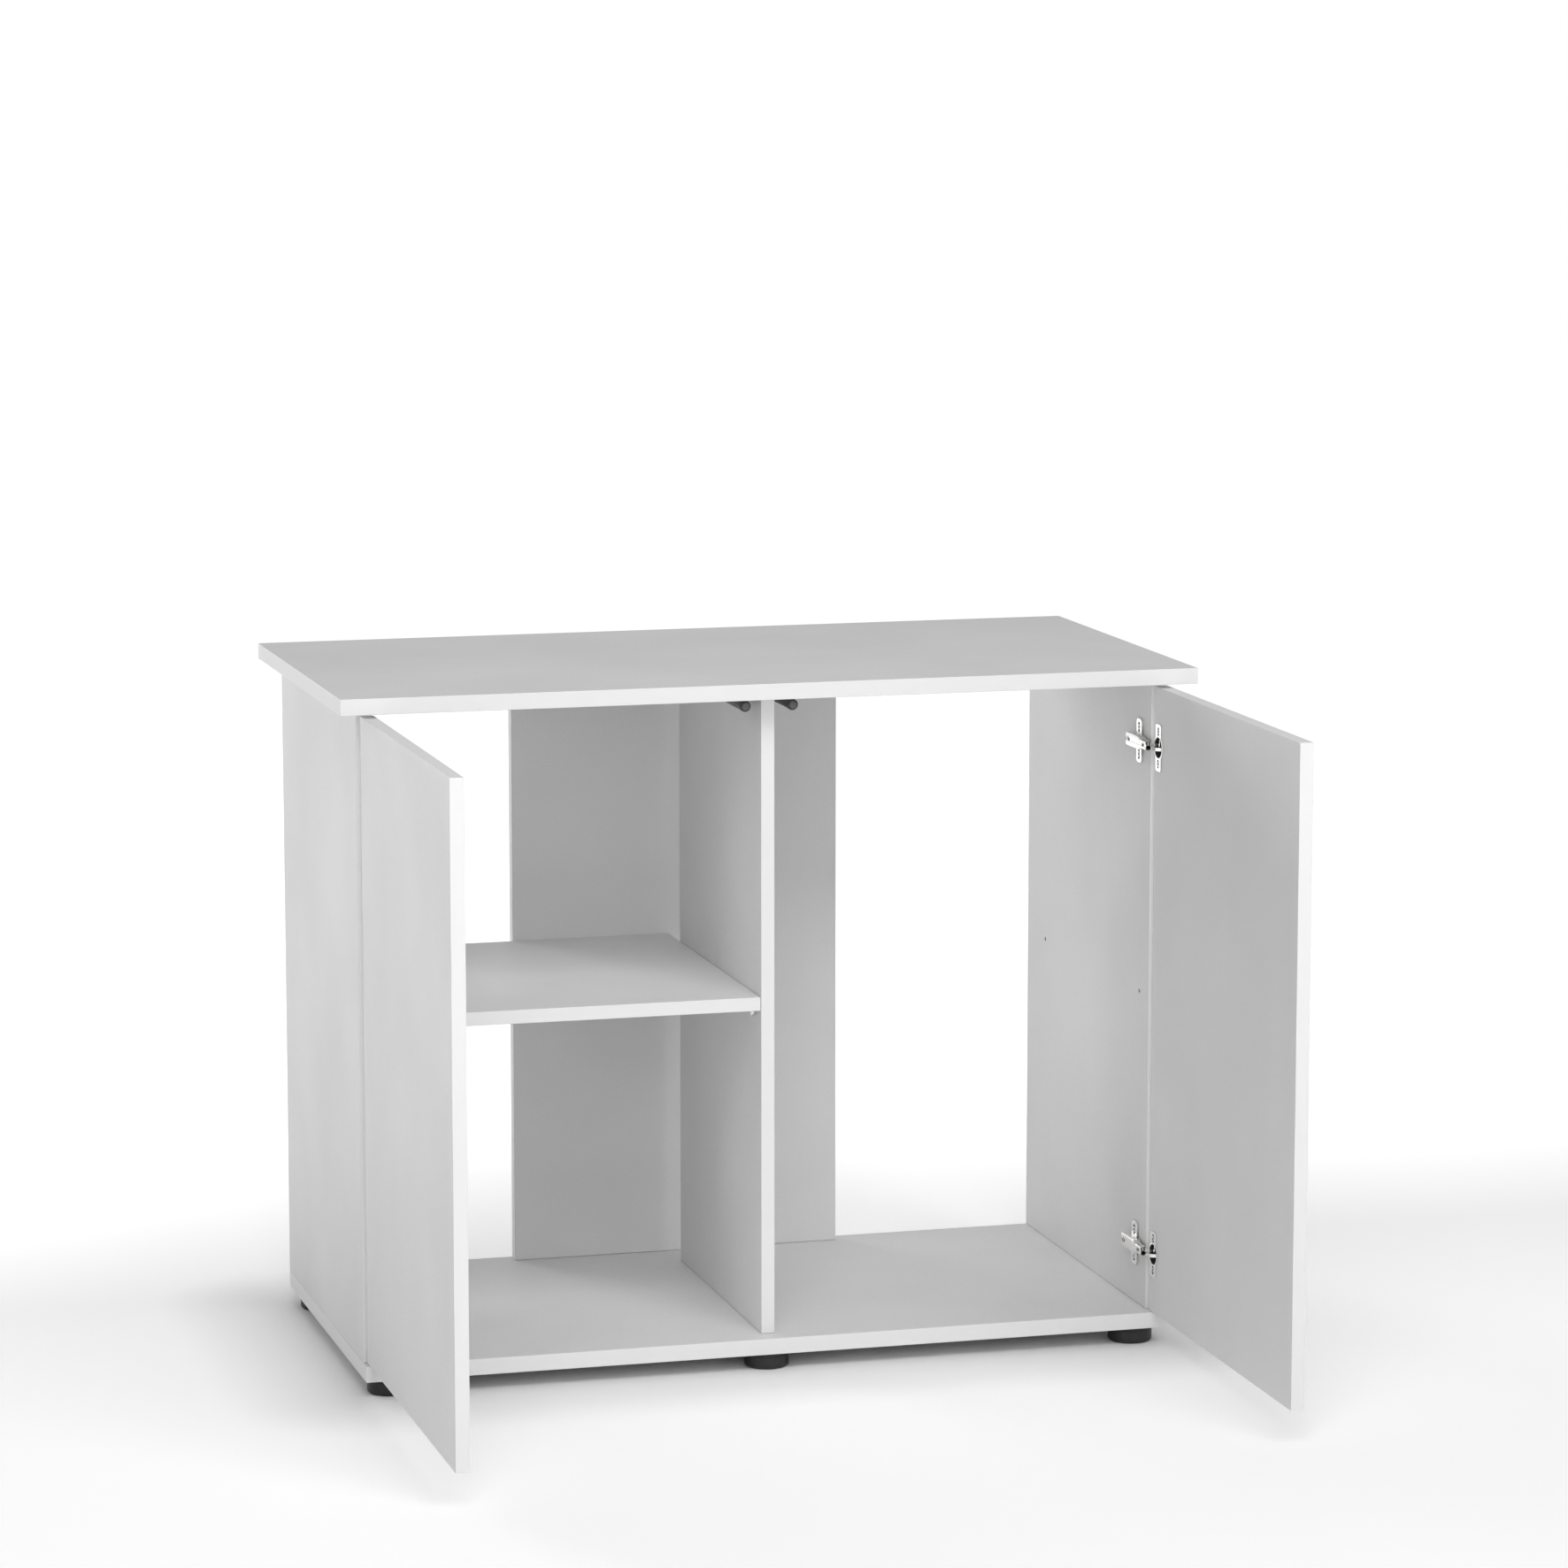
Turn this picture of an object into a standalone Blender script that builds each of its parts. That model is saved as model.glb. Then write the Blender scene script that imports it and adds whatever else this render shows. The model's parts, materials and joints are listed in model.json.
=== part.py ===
"""Aquarium stand cabinet with two handle-less doors, shown with both doors open.

Flat-pack cabinet of white coated board: a bottom panel on six round feet, two side panels,
a centre divider, a narrow centre back panel, an overhanging top panel, one shelf in the
left bay, two full-overlay doors on concealed hinges and a push latch behind each door.

Metres, +Z up, +X to the cabinet's right as seen from the front, +Y to its back. Every
length below is in cabinet coordinates, whose origin is on the floor under the middle of
the top panel. The whole cabinet hangs on one empty that shifts it back, so that the
origin of the world is the middle of the box that the cabinet fills with its doors open.
"""
import bpy
import bmesh
from math import asin, atan2, cos, pi, radians, sin
from mathutils import Matrix, Vector

GAP = 0.0003                    # clearance between pieces that touch
OVERCUT = 0.0020                # how far a cutting tool starts outside the face it cuts
WELD = 0.000001                 # points closer than this are one point
SHARP_ANGLE = radians(35)       # edges sharper than this stay sharp

# Boards
TOP_W = 1.010
TOP_D = 0.514
CARCASS_W = 0.9605
THICK = 0.019                   # top, bottom and side panels
THIN = 0.016                    # doors, divider, shelf and back panel
FOOT_H = 0.020
CLEAR_H = 0.750                 # height of the side panels
BOTTOM_FRONT = -0.2370
SIDE_FRONT = -0.2198
CARCASS_BACK = 0.2388
DIVIDER_FRONT = -0.2125
DIVIDER_BACK = 0.1635
BACK_FRONT = 0.2160             # front face of the centre back panel
BACK_W = 0.409
SHELF_UNDERSIDE = 0.4217
EDGE_ROUND = 0.0007

BOTTOM_TOP = FOOT_H + THICK
TOP_UNDERSIDE = BOTTOM_TOP + CLEAR_H
SIDE_INNER = CARCASS_W / 2 - THICK

# Feet
FOOT_R = 0.026
FOOT_ROUND = 0.004
FOOT_X = 0.447
FOOT_Y = 0.205
FOOT_SIDES = 32

# Doors, which stand 90 degrees open
DOOR_W = 0.475
DOOR_FOOT_GAP = 0.0022
DOOR_HEAD_GAP = 0.0040
DOOR_BOTTOM = BOTTOM_TOP + DOOR_FOOT_GAP
DOOR_TOP = TOP_UNDERSIDE - DOOR_HEAD_GAP
CLOSED_OUTER_X = 0.4775         # hinge-side edge of a closed door
CLOSED_FACE_Y = SIDE_FRONT - 0.0017 - THIN
OPEN_OUTER_X = 0.4776           # outer face of an open door
OPEN_EDGE_Y = -0.2310           # hinge-side edge of an open door
OPEN_INNER_X = OPEN_OUTER_X - THIN

# Concealed hinges. The right-hand hinge is described, the left-hand one is its mirror.
# TURN is the point about which a quarter turn takes the closed door to the open one.
TURN_X = (OPEN_OUTER_X - OPEN_EDGE_Y + CLOSED_OUTER_X + CLOSED_FACE_Y) / 2
TURN_Y = (OPEN_OUTER_X + OPEN_EDGE_Y - CLOSED_OUTER_X + CLOSED_FACE_Y) / 2
HINGE_INSET = 0.0705            # hinge centre from the door's top or bottom edge
ARM_PIN = (0.4555, -0.2270)     # pivot of the outer link on the arm
CUP_PIN_REACH = 0.0095          # distance from TURN to the outer link's pivot in the cup
BEND_POINT = (0.4596, -0.2374)  # bend of the outer link
INNER_PIN = (0.4660, -0.2470)   # pivot of the inner link in the cup
INNER_BEND = (0.4590, -0.2435)
INNER_END = (0.4556, -0.2240)   # free end of the inner link, inside the arm
PIN_R = 0.0009
EYE_HOLE_R = 0.0012
EYE_R = 0.0020
EYE_STEPS = 10
EYE_HOLE_SIDES = 12
PIN_SIDES = 10
PIN_BITE = 0.0002               # how far a pin's end reaches into the cup's wall
LINK_HALF_W = 0.0013
LINK_Z = (0.00015, 0.0034)      # height band of a link, above or below the hinge centre

CUP_SETBACK = 0.016             # cup centre from the door's hinge-side edge
CUP_R = 0.0130
CUP_INNER_R = 0.0121
CUP_DEPTH = 0.0117
CUP_FLOOR = 0.0008
CUP_BORE_DEPTH = 0.0120
CUP_SIDES = 32
FLANGE_T = 0.0009
FLANGE_FACE_X = OPEN_INNER_X - GAP - FLANGE_T
FLANGE_HALF_W = 0.0090
FLANGE_HALF_L = 0.0275
FLANGE_ROUND_R = 0.0145
FLANGE_ROUND_STEPS = 6
FLANGE_CORNER_R = 0.0035
CUP_SCREW_Z = 0.019
CORNER_STEPS = 4                # sides of a plate's rounded corner

PLATE_Y = SIDE_FRONT + 0.036    # centre of the mounting plate
PLATE_T = 0.0022
PLATE_HALF_W = 0.0090
PLATE_HALF_L = 0.0260
PLATE_CORNER_R = 0.0050
PLATE_SCREW_Z = 0.016
BLOCK_X = 0.4546                # raised middle of the mounting plate
BLOCK_Y = (-0.1980, -0.1630)
BLOCK_HALF_H = 0.0066
BLOCK_LIFT = 0.0004             # gap between the block's back and the plate's back
PLATE_BACK_X = SIDE_INNER - GAP
PLATE_FACE_X = PLATE_BACK_X - PLATE_T

ARM_X = (0.4510, PLATE_FACE_X - GAP)
ARM_WALL = 0.0011
ARM_SECTIONS = ((-0.2296, 0.0050), (-0.2120, 0.0050), (-0.2020, 0.0080), (-0.1600, 0.0080))

# Countersunk screws: head radius, shank radius, head depth, length
CUP_SCREW = (0.0032, 0.00175, 0.0015, 0.0110)
PLATE_SCREW = (0.0036, 0.00175, 0.0018, 0.0140)
SCREW_SIDES = 12
SCREW_OVERCUT = 0.0040          # height of the clearance above a screw's head

# Shelf pins and their holes
PIN_HOLE_Y = (-0.186, 0.169)    # front and back holes in a side panel
DIVIDER_HOLE_Y = (-0.186, 0.126)
PIN_HOLE_Z = 0.416
PIN_HOLE_R = 0.0028
PIN_HOLE_DEPTH = 0.0070
PIN_HOLE_SIDES = 12
PIN_STEM_R = 0.0025
PIN_STEM_L = 0.0065
PIN_COLLAR_R = 0.0053
PIN_COLLAR_L = 0.0060
PIN_COLLAR_BEVEL = 0.0006
SHELF_PIN_SIDES = 16
SHELF_SIDE_GAP = 0.0006

# Push latches under the top panel
LATCH_X = 0.0280
LATCH_DROP = 0.0115             # axis below the top panel
LATCH_R = 0.0065
LATCH_BORE_R = 0.0049
LATCH_FRONT = -0.2180
LATCH_L = 0.0760
LATCH_BORE_L = 0.0680
LATCH_BEVEL = 0.0008
LATCH_SIDES = 24
PLUNGER_R = 0.0046
PLUNGER_FRONT = -0.2210
PLUNGER_L = 0.0580
PLUNGER_BEVEL = 0.0010
PLUNGER_SIDES = 20
SADDLE_HALF_W = 0.0035
SADDLE_LIFT = 0.00025           # the saddle's foot stays this far outside the bore
TAB_HALF_W = 0.0110
TAB_T = 0.0020
SADDLE_INSET = 0.0200
SADDLE_L = 0.0300
TAB_LIP = 0.0020                # how far the tab reaches past the saddle at each end

RIGHT, LEFT = 1, -1
SIDE_NAMES = {RIGHT: "right", LEFT: "left"}
HINGE_LEVELS = {"lower": DOOR_BOTTOM + HINGE_INSET, "upper": DOOR_TOP - HINGE_INSET}

# Distance from the middle of the top panel back to the middle of the whole open cabinet
SHIFT = (DOOR_W - OPEN_EDGE_Y - TOP_D / 2) / 2


# ---------------------------------------------------------------- scene and materials

def clear_scene():
    for thing in list(bpy.data.objects):
        bpy.data.objects.remove(thing)


def principled(name, colour, roughness, metallic=0.0):
    material = bpy.data.materials.new(name)
    material.use_nodes = True
    shader = material.node_tree.nodes["Principled BSDF"]
    shader.inputs["Base Color"].default_value = (*colour, 1.0)
    shader.inputs["Roughness"].default_value = roughness
    shader.inputs["Metallic"].default_value = metallic
    return material


def white_board():
    return principled("white_board", (0.86, 0.86, 0.86), 0.42)


def nickel_steel():
    return principled("nickel_steel", (0.62, 0.61, 0.59), 0.24, 1.0)


def zinc_screw():
    return principled("zinc_screw", (0.70, 0.70, 0.72), 0.30, 1.0)


def black_plastic():
    return principled("black_plastic", (0.018, 0.018, 0.019), 0.45)


def dark_plastic():
    return principled("dark_plastic", (0.045, 0.046, 0.048), 0.50)


def grey_plastic():
    return principled("grey_plastic", (0.110, 0.112, 0.115), 0.45)


# ---------------------------------------------------------------- shapes

def axis_frame(origin, direction):
    """Matrix that lays a shape built along +Z from the origin along a direction."""
    turn = Vector(direction).to_track_quat("Z", "Y").to_matrix().to_4x4()
    return Matrix.Translation(origin) @ turn


def mesh_object(name, bm, frame, mirror=RIGHT):
    """Make an object of a bmesh, moved by frame and, for the left side, mirrored in X."""
    bm.transform(Matrix.Diagonal((mirror, 1, 1, 1)) @ frame)
    bmesh.ops.recalc_face_normals(bm, faces=bm.faces)
    if bm.calc_volume(signed=True) < 0:
        bmesh.ops.reverse_faces(bm, faces=bm.faces)
    mesh = bpy.data.meshes.new(name)
    bm.to_mesh(mesh)
    bm.free()
    thing = bpy.data.objects.new(name, mesh)
    bpy.context.collection.objects.link(thing)
    return thing


def box(name, low, high, rounding=0.0, mirror=RIGHT):
    bm = bmesh.new()
    bmesh.ops.create_cube(bm, size=1.0)
    size = Vector(high) - Vector(low)
    middle = (Vector(high) + Vector(low)) / 2
    bm.transform(Matrix.Diagonal((*size, 1.0)))
    if rounding:
        bmesh.ops.bevel(bm, geom=bm.edges[:], offset=rounding, segments=2, profile=0.5,
                        affect="EDGES", clamp_overlap=True)
    return mesh_object(name, bm, Matrix.Translation(middle), mirror)


def turned(name, profile, frame, sides, mirror=RIGHT):
    """Turn a profile of (radius, height) points about its axis."""
    bm = bmesh.new()
    points = [bm.verts.new((radius, 0.0, height)) for radius, height in profile]
    for first, second in zip(points, points[1:]):
        bm.edges.new((first, second))
    bmesh.ops.spin(bm, geom=bm.verts[:] + bm.edges[:], cent=(0, 0, 0), axis=(0, 0, 1),
                   angle=2 * pi, steps=sides)
    bmesh.ops.remove_doubles(bm, verts=bm.verts, dist=WELD)
    return mesh_object(name, bm, frame, mirror)


def prism(name, outline, low, high, frame, mirror=RIGHT):
    """Extrude a closed outline of (u, v) points from low to high along the third axis."""
    bm = bmesh.new()
    base = bm.faces.new([bm.verts.new((u, v, low)) for u, v in outline])
    grown = bmesh.ops.extrude_face_region(bm, geom=[base])["geom"]
    raised = [item for item in grown if isinstance(item, bmesh.types.BMVert)]
    bmesh.ops.translate(bm, verts=raised, vec=(0, 0, high - low))
    return mesh_object(name, bm, frame, mirror)


def arc(centre, radius, start, end, steps):
    """Points on an arc, both ends included."""
    return [(centre[0] + radius * cos(start + (end - start) * i / steps),
             centre[1] + radius * sin(start + (end - start) * i / steps))
            for i in range(steps + 1)]


def combine(target, tool, operation):
    """Unite target with tool, or cut tool out of target, and remove tool."""
    change = target.modifiers.new("combine", "BOOLEAN")
    change.operation = operation
    change.solver = "EXACT"
    change.object = tool
    bpy.context.view_layer.update()
    graph = bpy.context.evaluated_depsgraph_get()
    target.data = bpy.data.meshes.new_from_object(target.evaluated_get(graph))
    target.modifiers.clear()
    bpy.data.objects.remove(tool)


def finish(thing, material, parent):
    """Give a piece its material and put its origin on its parent empty."""
    thing.data.materials.clear()
    thing.data.materials.append(material)
    thing.data.shade_smooth()
    thing.data.set_sharp_from_angle(angle=SHARP_ANGLE)
    thing.data.transform(Matrix.Translation(-Vector(parent["place"])))
    thing.parent = parent


def empty(name, place, parent=None):
    """Empty at a place in cabinet coordinates; a moving piece's empty is on its axis."""
    marker = bpy.data.objects.new(name, None)
    bpy.context.collection.objects.link(marker)
    marker["place"] = place
    if parent is None:
        marker.location = place
    else:
        marker.parent = parent
        marker.location = Vector(place) - Vector(parent["place"])
    return marker


# ---------------------------------------------------------------- hinge geometry

def cup_pin(quarter_turns):
    """Outer link's pivot in the cup, in the closed (0) or open (1) position.

    It lies so that the arm's pin is equally far from both positions.
    """
    towards_arm = atan2(ARM_PIN[1] - TURN_Y, ARM_PIN[0] - TURN_X)
    angle = towards_arm - pi / 4 + quarter_turns * pi / 2
    return (TURN_X + CUP_PIN_REACH * cos(angle), TURN_Y + CUP_PIN_REACH * sin(angle))


CUP_PIN = cup_pin(1)
CUP_Y = OPEN_EDGE_Y - CUP_SETBACK


def strap_outline(path, end_radius):
    """Outline of a bent strap along path, with a round eye at each end."""
    points = [Vector(point) for point in path]
    spread = pi - asin(LINK_HALF_W / end_radius)
    left, right = [], []
    for before, here, after in zip(points, points[1:], points[2:]):
        coming = (here - before).normalized()
        along = (coming + (after - here).normalized()).normalized()
        normal = Vector((-along.y, along.x))
        reach = LINK_HALF_W / normal.dot(Vector((-coming.y, coming.x)))
        left.append(tuple(here + normal * reach))
        right.append(tuple(here - normal * reach))
    start_away = atan2(*(points[0] - points[1]).yx)
    end_away = atan2(*(points[-1] - points[-2]).yx)
    start_eye = arc(path[0], end_radius, start_away - spread, start_away + spread, EYE_STEPS)
    end_eye = arc(path[-1], end_radius, end_away - spread, end_away + spread, EYE_STEPS)
    return start_eye + right + end_eye + left[::-1]


def plate_end(half_width, half_length, corner):
    """The upper end of a long plate, from its right side to its left one, as (y, z)."""
    y, z = half_width - corner, half_length - corner
    return (arc((y, z), corner, 0, pi / 2, CORNER_STEPS)
            + arc((-y, z), corner, pi / 2, pi, CORNER_STEPS))


def flange_outline():
    """Long plate with a round middle, as (y, z) about the cup's centre."""
    meet = asin((FLANGE_ROUND_R ** 2 - FLANGE_HALF_W ** 2) ** 0.5 / FLANGE_ROUND_R)
    half = (arc((0, 0), FLANGE_ROUND_R, -meet, meet, FLANGE_ROUND_STEPS)
            + plate_end(FLANGE_HALF_W, FLANGE_HALF_L, FLANGE_CORNER_R))
    return half + [(-y, -z) for y, z in half]


def wing_outline():
    """Long plate with rounded corners, as (y, z) about the mounting plate's centre."""
    half = plate_end(PLATE_HALF_W, PLATE_HALF_L, PLATE_CORNER_R)
    return half + [(-y, -z) for y, z in half]


def screw_profile(sizes, clearance=0.0):
    """Countersunk screw along +Z from its flat head, or the hole that clears it."""
    head_r, shank_r, head_h, length = sizes
    above = SCREW_OVERCUT if clearance else 0.0
    rim = [(head_r + clearance, -above)] if clearance else []
    return ([(0.0, -above)] + rim
            + [(head_r + clearance, 0.0), (shank_r + clearance, head_h),
               (shank_r + clearance, length + clearance), (0.0, length + clearance)])


def wall_frame(x, y, z):
    """Frame whose third axis points outwards, +X, and whose first two are Y and Z."""
    return Matrix(((0, 0, 1, x), (1, 0, 0, y), (0, 1, 0, z), (0, 0, 0, 1)))


def screw_places():
    """Head centre of every screw on one side, as (kind, level, end, x, y, z)."""
    places = []
    for level, z in HINGE_LEVELS.items():
        for end, direction in (("bottom", -1), ("top", 1)):
            places.append(("cup", level, end, FLANGE_FACE_X, CUP_Y, z + direction * CUP_SCREW_Z))
            places.append(("plate", level, end, PLATE_FACE_X, PLATE_Y,
                           z + direction * PLATE_SCREW_Z))
    return places


def cut_screw_holes(target, kind, side, level=None):
    """Cut the clearance holes of one kind of screw out of a piece."""
    sizes = CUP_SCREW if kind == "cup" else PLATE_SCREW
    for this_kind, this_level, _, x, y, z in screw_places():
        if this_kind == kind and level in (None, this_level):
            hole = turned("hole", screw_profile(sizes, GAP), axis_frame((x, y, z), (1, 0, 0)),
                          SCREW_SIDES, side)
            combine(target, hole, "DIFFERENCE")


# ---------------------------------------------------------------- boards

def carcass_board(name, low, high, material, parent):
    finish(box(name, low, high, EDGE_ROUND), material, parent)


def plain_boards(material, parent):
    half_w = CARCASS_W / 2
    carcass_board("top_panel", (-TOP_W / 2, -TOP_D / 2, TOP_UNDERSIDE + GAP),
                  (TOP_W / 2, TOP_D / 2, TOP_UNDERSIDE + THICK), material, parent)
    carcass_board("bottom_panel", (-half_w, BOTTOM_FRONT, FOOT_H),
                  (half_w, CARCASS_BACK, BOTTOM_TOP), material, parent)
    carcass_board("back_panel", (-BACK_W / 2, BACK_FRONT, BOTTOM_TOP + GAP),
                  (BACK_W / 2, BACK_FRONT + THIN, TOP_UNDERSIDE), material, parent)
    carcass_board("shelf", (-SIDE_INNER + SHELF_SIDE_GAP, DIVIDER_FRONT, SHELF_UNDERSIDE),
                  (-THIN / 2 - SHELF_SIDE_GAP, BACK_FRONT - GAP, SHELF_UNDERSIDE + THIN),
                  material, parent)


def pin_hole(x, y, direction):
    """Tool for a shelf-pin hole drilled from a board's face at x along +X or -X."""
    profile = [(0, -OVERCUT), (PIN_HOLE_R, -OVERCUT), (PIN_HOLE_R, PIN_HOLE_DEPTH),
               (0, PIN_HOLE_DEPTH)]
    frame = axis_frame((x, y, PIN_HOLE_Z), (direction, 0, 0))
    return turned("hole", profile, frame, PIN_HOLE_SIDES)


def side_panel(side, material, parent):
    panel = box(f"side_panel_{SIDE_NAMES[side]}", (SIDE_INNER, SIDE_FRONT, BOTTOM_TOP + GAP),
                (CARCASS_W / 2, CARCASS_BACK, TOP_UNDERSIDE), EDGE_ROUND, side)
    cut_screw_holes(panel, "plate", side)
    for y in PIN_HOLE_Y:
        combine(panel, pin_hole(side * SIDE_INNER, y, side), "DIFFERENCE")
    finish(panel, material, parent)


def centre_divider(material, parent):
    divider = box("centre_divider", (-THIN / 2, DIVIDER_FRONT, BOTTOM_TOP + GAP),
                  (THIN / 2, DIVIDER_BACK, TOP_UNDERSIDE), EDGE_ROUND)
    for side in (LEFT, RIGHT):
        for y in DIVIDER_HOLE_Y:
            combine(divider, pin_hole(side * THIN / 2, y, -side), "DIFFERENCE")
    finish(divider, material, parent)


def shelf_pin(name, face_x, y, direction, material, parent):
    """Pin whose stem goes into a board along direction and whose collar carries the shelf."""
    face = face_x - direction * GAP
    profile = [(0, -PIN_COLLAR_L), (PIN_COLLAR_R - PIN_COLLAR_BEVEL, -PIN_COLLAR_L),
               (PIN_COLLAR_R, -PIN_COLLAR_L + PIN_COLLAR_BEVEL), (PIN_COLLAR_R, 0),
               (PIN_STEM_R, 0), (PIN_STEM_R, PIN_STEM_L), (0, PIN_STEM_L)]
    frame = axis_frame((face, y, PIN_HOLE_Z), (direction, 0, 0))
    finish(turned(name, profile, frame, SHELF_PIN_SIDES), material, parent)


def shelf_pins(material, parent):
    for end, outer_y, inner_y in zip(("front", "back"), PIN_HOLE_Y, DIVIDER_HOLE_Y):
        shelf_pin(f"shelf_pin_outer_{end}", -SIDE_INNER, outer_y, -1, material, parent)
        shelf_pin(f"shelf_pin_inner_{end}", -THIN / 2, inner_y, 1, material, parent)


def feet(material, parent):
    curve = arc((FOOT_R - FOOT_ROUND, FOOT_ROUND), FOOT_ROUND, -pi / 2, 0, 3)
    profile = [(0.0, 0.0)] + curve + [(FOOT_R, FOOT_H - GAP), (0.0, FOOT_H - GAP)]
    for row, y in (("front", -FOOT_Y), ("back", FOOT_Y)):
        for column, x in (("left", -FOOT_X), ("middle", 0.0), ("right", FOOT_X)):
            frame = Matrix.Translation((x, y, 0))
            foot = turned(f"foot_{row}_{column}", profile, frame, FOOT_SIDES)
            finish(foot, material, parent)


# ---------------------------------------------------------------- doors and hinges

def door(side, material, parent):
    board = box(f"door_{SIDE_NAMES[side]}", (OPEN_INNER_X, OPEN_EDGE_Y - DOOR_W, DOOR_BOTTOM),
                (OPEN_OUTER_X, OPEN_EDGE_Y, DOOR_TOP), EDGE_ROUND, side)
    bore = [(0, -OVERCUT), (CUP_R + GAP, -OVERCUT), (CUP_R + GAP, CUP_BORE_DEPTH),
            (0, CUP_BORE_DEPTH)]
    for z in HINGE_LEVELS.values():
        frame = axis_frame((OPEN_INNER_X, CUP_Y, z), (1, 0, 0))
        combine(board, turned("bore", bore, frame, CUP_SIDES, side), "DIFFERENCE")
    cut_screw_holes(board, "cup", side)
    finish(board, material, parent)


def hinge_cup(side, level, material, parent):
    """Steel cup with a screwed flange and the two pins that its links turn on."""
    z = HINGE_LEVELS[level]
    cup = prism(f"hinge_cup_{SIDE_NAMES[side]}_{level}", flange_outline(), 0.0, FLANGE_T,
                wall_frame(FLANGE_FACE_X, CUP_Y, z), side)
    depth = OPEN_INNER_X - FLANGE_FACE_X + CUP_DEPTH
    body = [(0, FLANGE_T / 2), (CUP_R, FLANGE_T / 2), (CUP_R, depth), (0, depth)]
    hollow = [(0, -OVERCUT), (CUP_INNER_R, -OVERCUT), (CUP_INNER_R, depth - CUP_FLOOR),
              (0, depth - CUP_FLOOR)]
    frame = axis_frame((FLANGE_FACE_X, CUP_Y, z), (1, 0, 0))
    combine(cup, turned("body", body, frame, CUP_SIDES, side), "UNION")
    combine(cup, turned("hollow", hollow, frame, CUP_SIDES, side), "DIFFERENCE")
    for (x, y), direction in ((CUP_PIN, 1), (INNER_PIN, -1)):
        reach = (CUP_INNER_R ** 2 - (y - CUP_Y) ** 2) ** 0.5 + PIN_BITE
        pin = [(0, 0), (PIN_R, 0), (PIN_R, reach), (0, reach)]
        pin_frame = axis_frame((x, y, z), (0, 0, direction))
        combine(cup, turned("pin", pin, pin_frame, PIN_SIDES, side), "UNION")
    cut_screw_holes(cup, "cup", side, level)
    finish(cup, material, parent)


def link(name, path, holes, band, z, side, material, parent):
    """Flat link between two heights, with pin holes at some of its eyes."""
    strap = prism(name, strap_outline(path, EYE_R), z + band[0], z + band[1], Matrix(), side)
    for x, y in holes:
        reach = LINK_Z[1] + OVERCUT
        hole = [(0, -reach), (EYE_HOLE_R, -reach), (EYE_HOLE_R, reach), (0, reach)]
        frame = Matrix.Translation((x, y, z))
        combine(strap, turned("hole", hole, frame, EYE_HOLE_SIDES, side), "DIFFERENCE")
    finish(strap, material, parent)


def hinge_arm(side, level, material, parent):
    """Channel-shaped arm, open towards the side panel, with the outer link's pin."""
    z = HINGE_LEVELS[level]
    bm = bmesh.new()
    rings = []
    for y, half in ARM_SECTIONS:
        inside = half - ARM_WALL
        section = ((ARM_X[1], half), (ARM_X[0], half), (ARM_X[0], -half), (ARM_X[1], -half),
                   (ARM_X[1], -inside), (ARM_X[0] + ARM_WALL, -inside),
                   (ARM_X[0] + ARM_WALL, inside), (ARM_X[1], inside))
        rings.append([bm.verts.new((x, y, z + height)) for x, height in section])
    for first, second in zip(rings, rings[1:]):
        for i in range(len(first)):
            j = (i + 1) % len(first)
            bm.faces.new((first[i], first[j], second[j], second[i]))
    bm.faces.new(rings[0])
    bm.faces.new(rings[-1][::-1])
    arm = mesh_object(f"hinge_arm_{SIDE_NAMES[side]}_{level}", bm, Matrix(), side)
    top = ARM_SECTIONS[0][1] - ARM_WALL / 2
    pin = [(0, 0), (PIN_R, 0), (PIN_R, top), (0, top)]
    frame = Matrix.Translation((*ARM_PIN, z))
    combine(arm, turned("pin", pin, frame, PIN_SIDES, side), "UNION")
    finish(arm, material, parent)


def mounting_plate(side, level, material, parent):
    """Cross-shaped plate: two screwed wings and a raised block that the arm sits over."""
    z = HINGE_LEVELS[level]
    plate = prism(f"hinge_plate_{SIDE_NAMES[side]}_{level}",
                  wing_outline(), 0.0, PLATE_T,
                  wall_frame(PLATE_FACE_X, PLATE_Y, z), side)
    block = box("block", (BLOCK_X, BLOCK_Y[0], z - BLOCK_HALF_H),
                (PLATE_BACK_X - BLOCK_LIFT, BLOCK_Y[1], z + BLOCK_HALF_H), 0.0, side)
    combine(plate, block, "UNION")
    cut_screw_holes(plate, "plate", side, level)
    finish(plate, material, parent)


def screws(side, material, cabinet, door_parent):
    for kind, level, end, x, y, z in screw_places():
        sizes = CUP_SCREW if kind == "cup" else PLATE_SCREW
        name = f"{kind}_screw_{SIDE_NAMES[side]}_{level}_{end}"
        frame = axis_frame((x, y, z), (1, 0, 0))
        screw = turned(name, screw_profile(sizes), frame, SCREW_SIDES, side)
        finish(screw, material, door_parent if kind == "cup" else cabinet)


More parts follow.
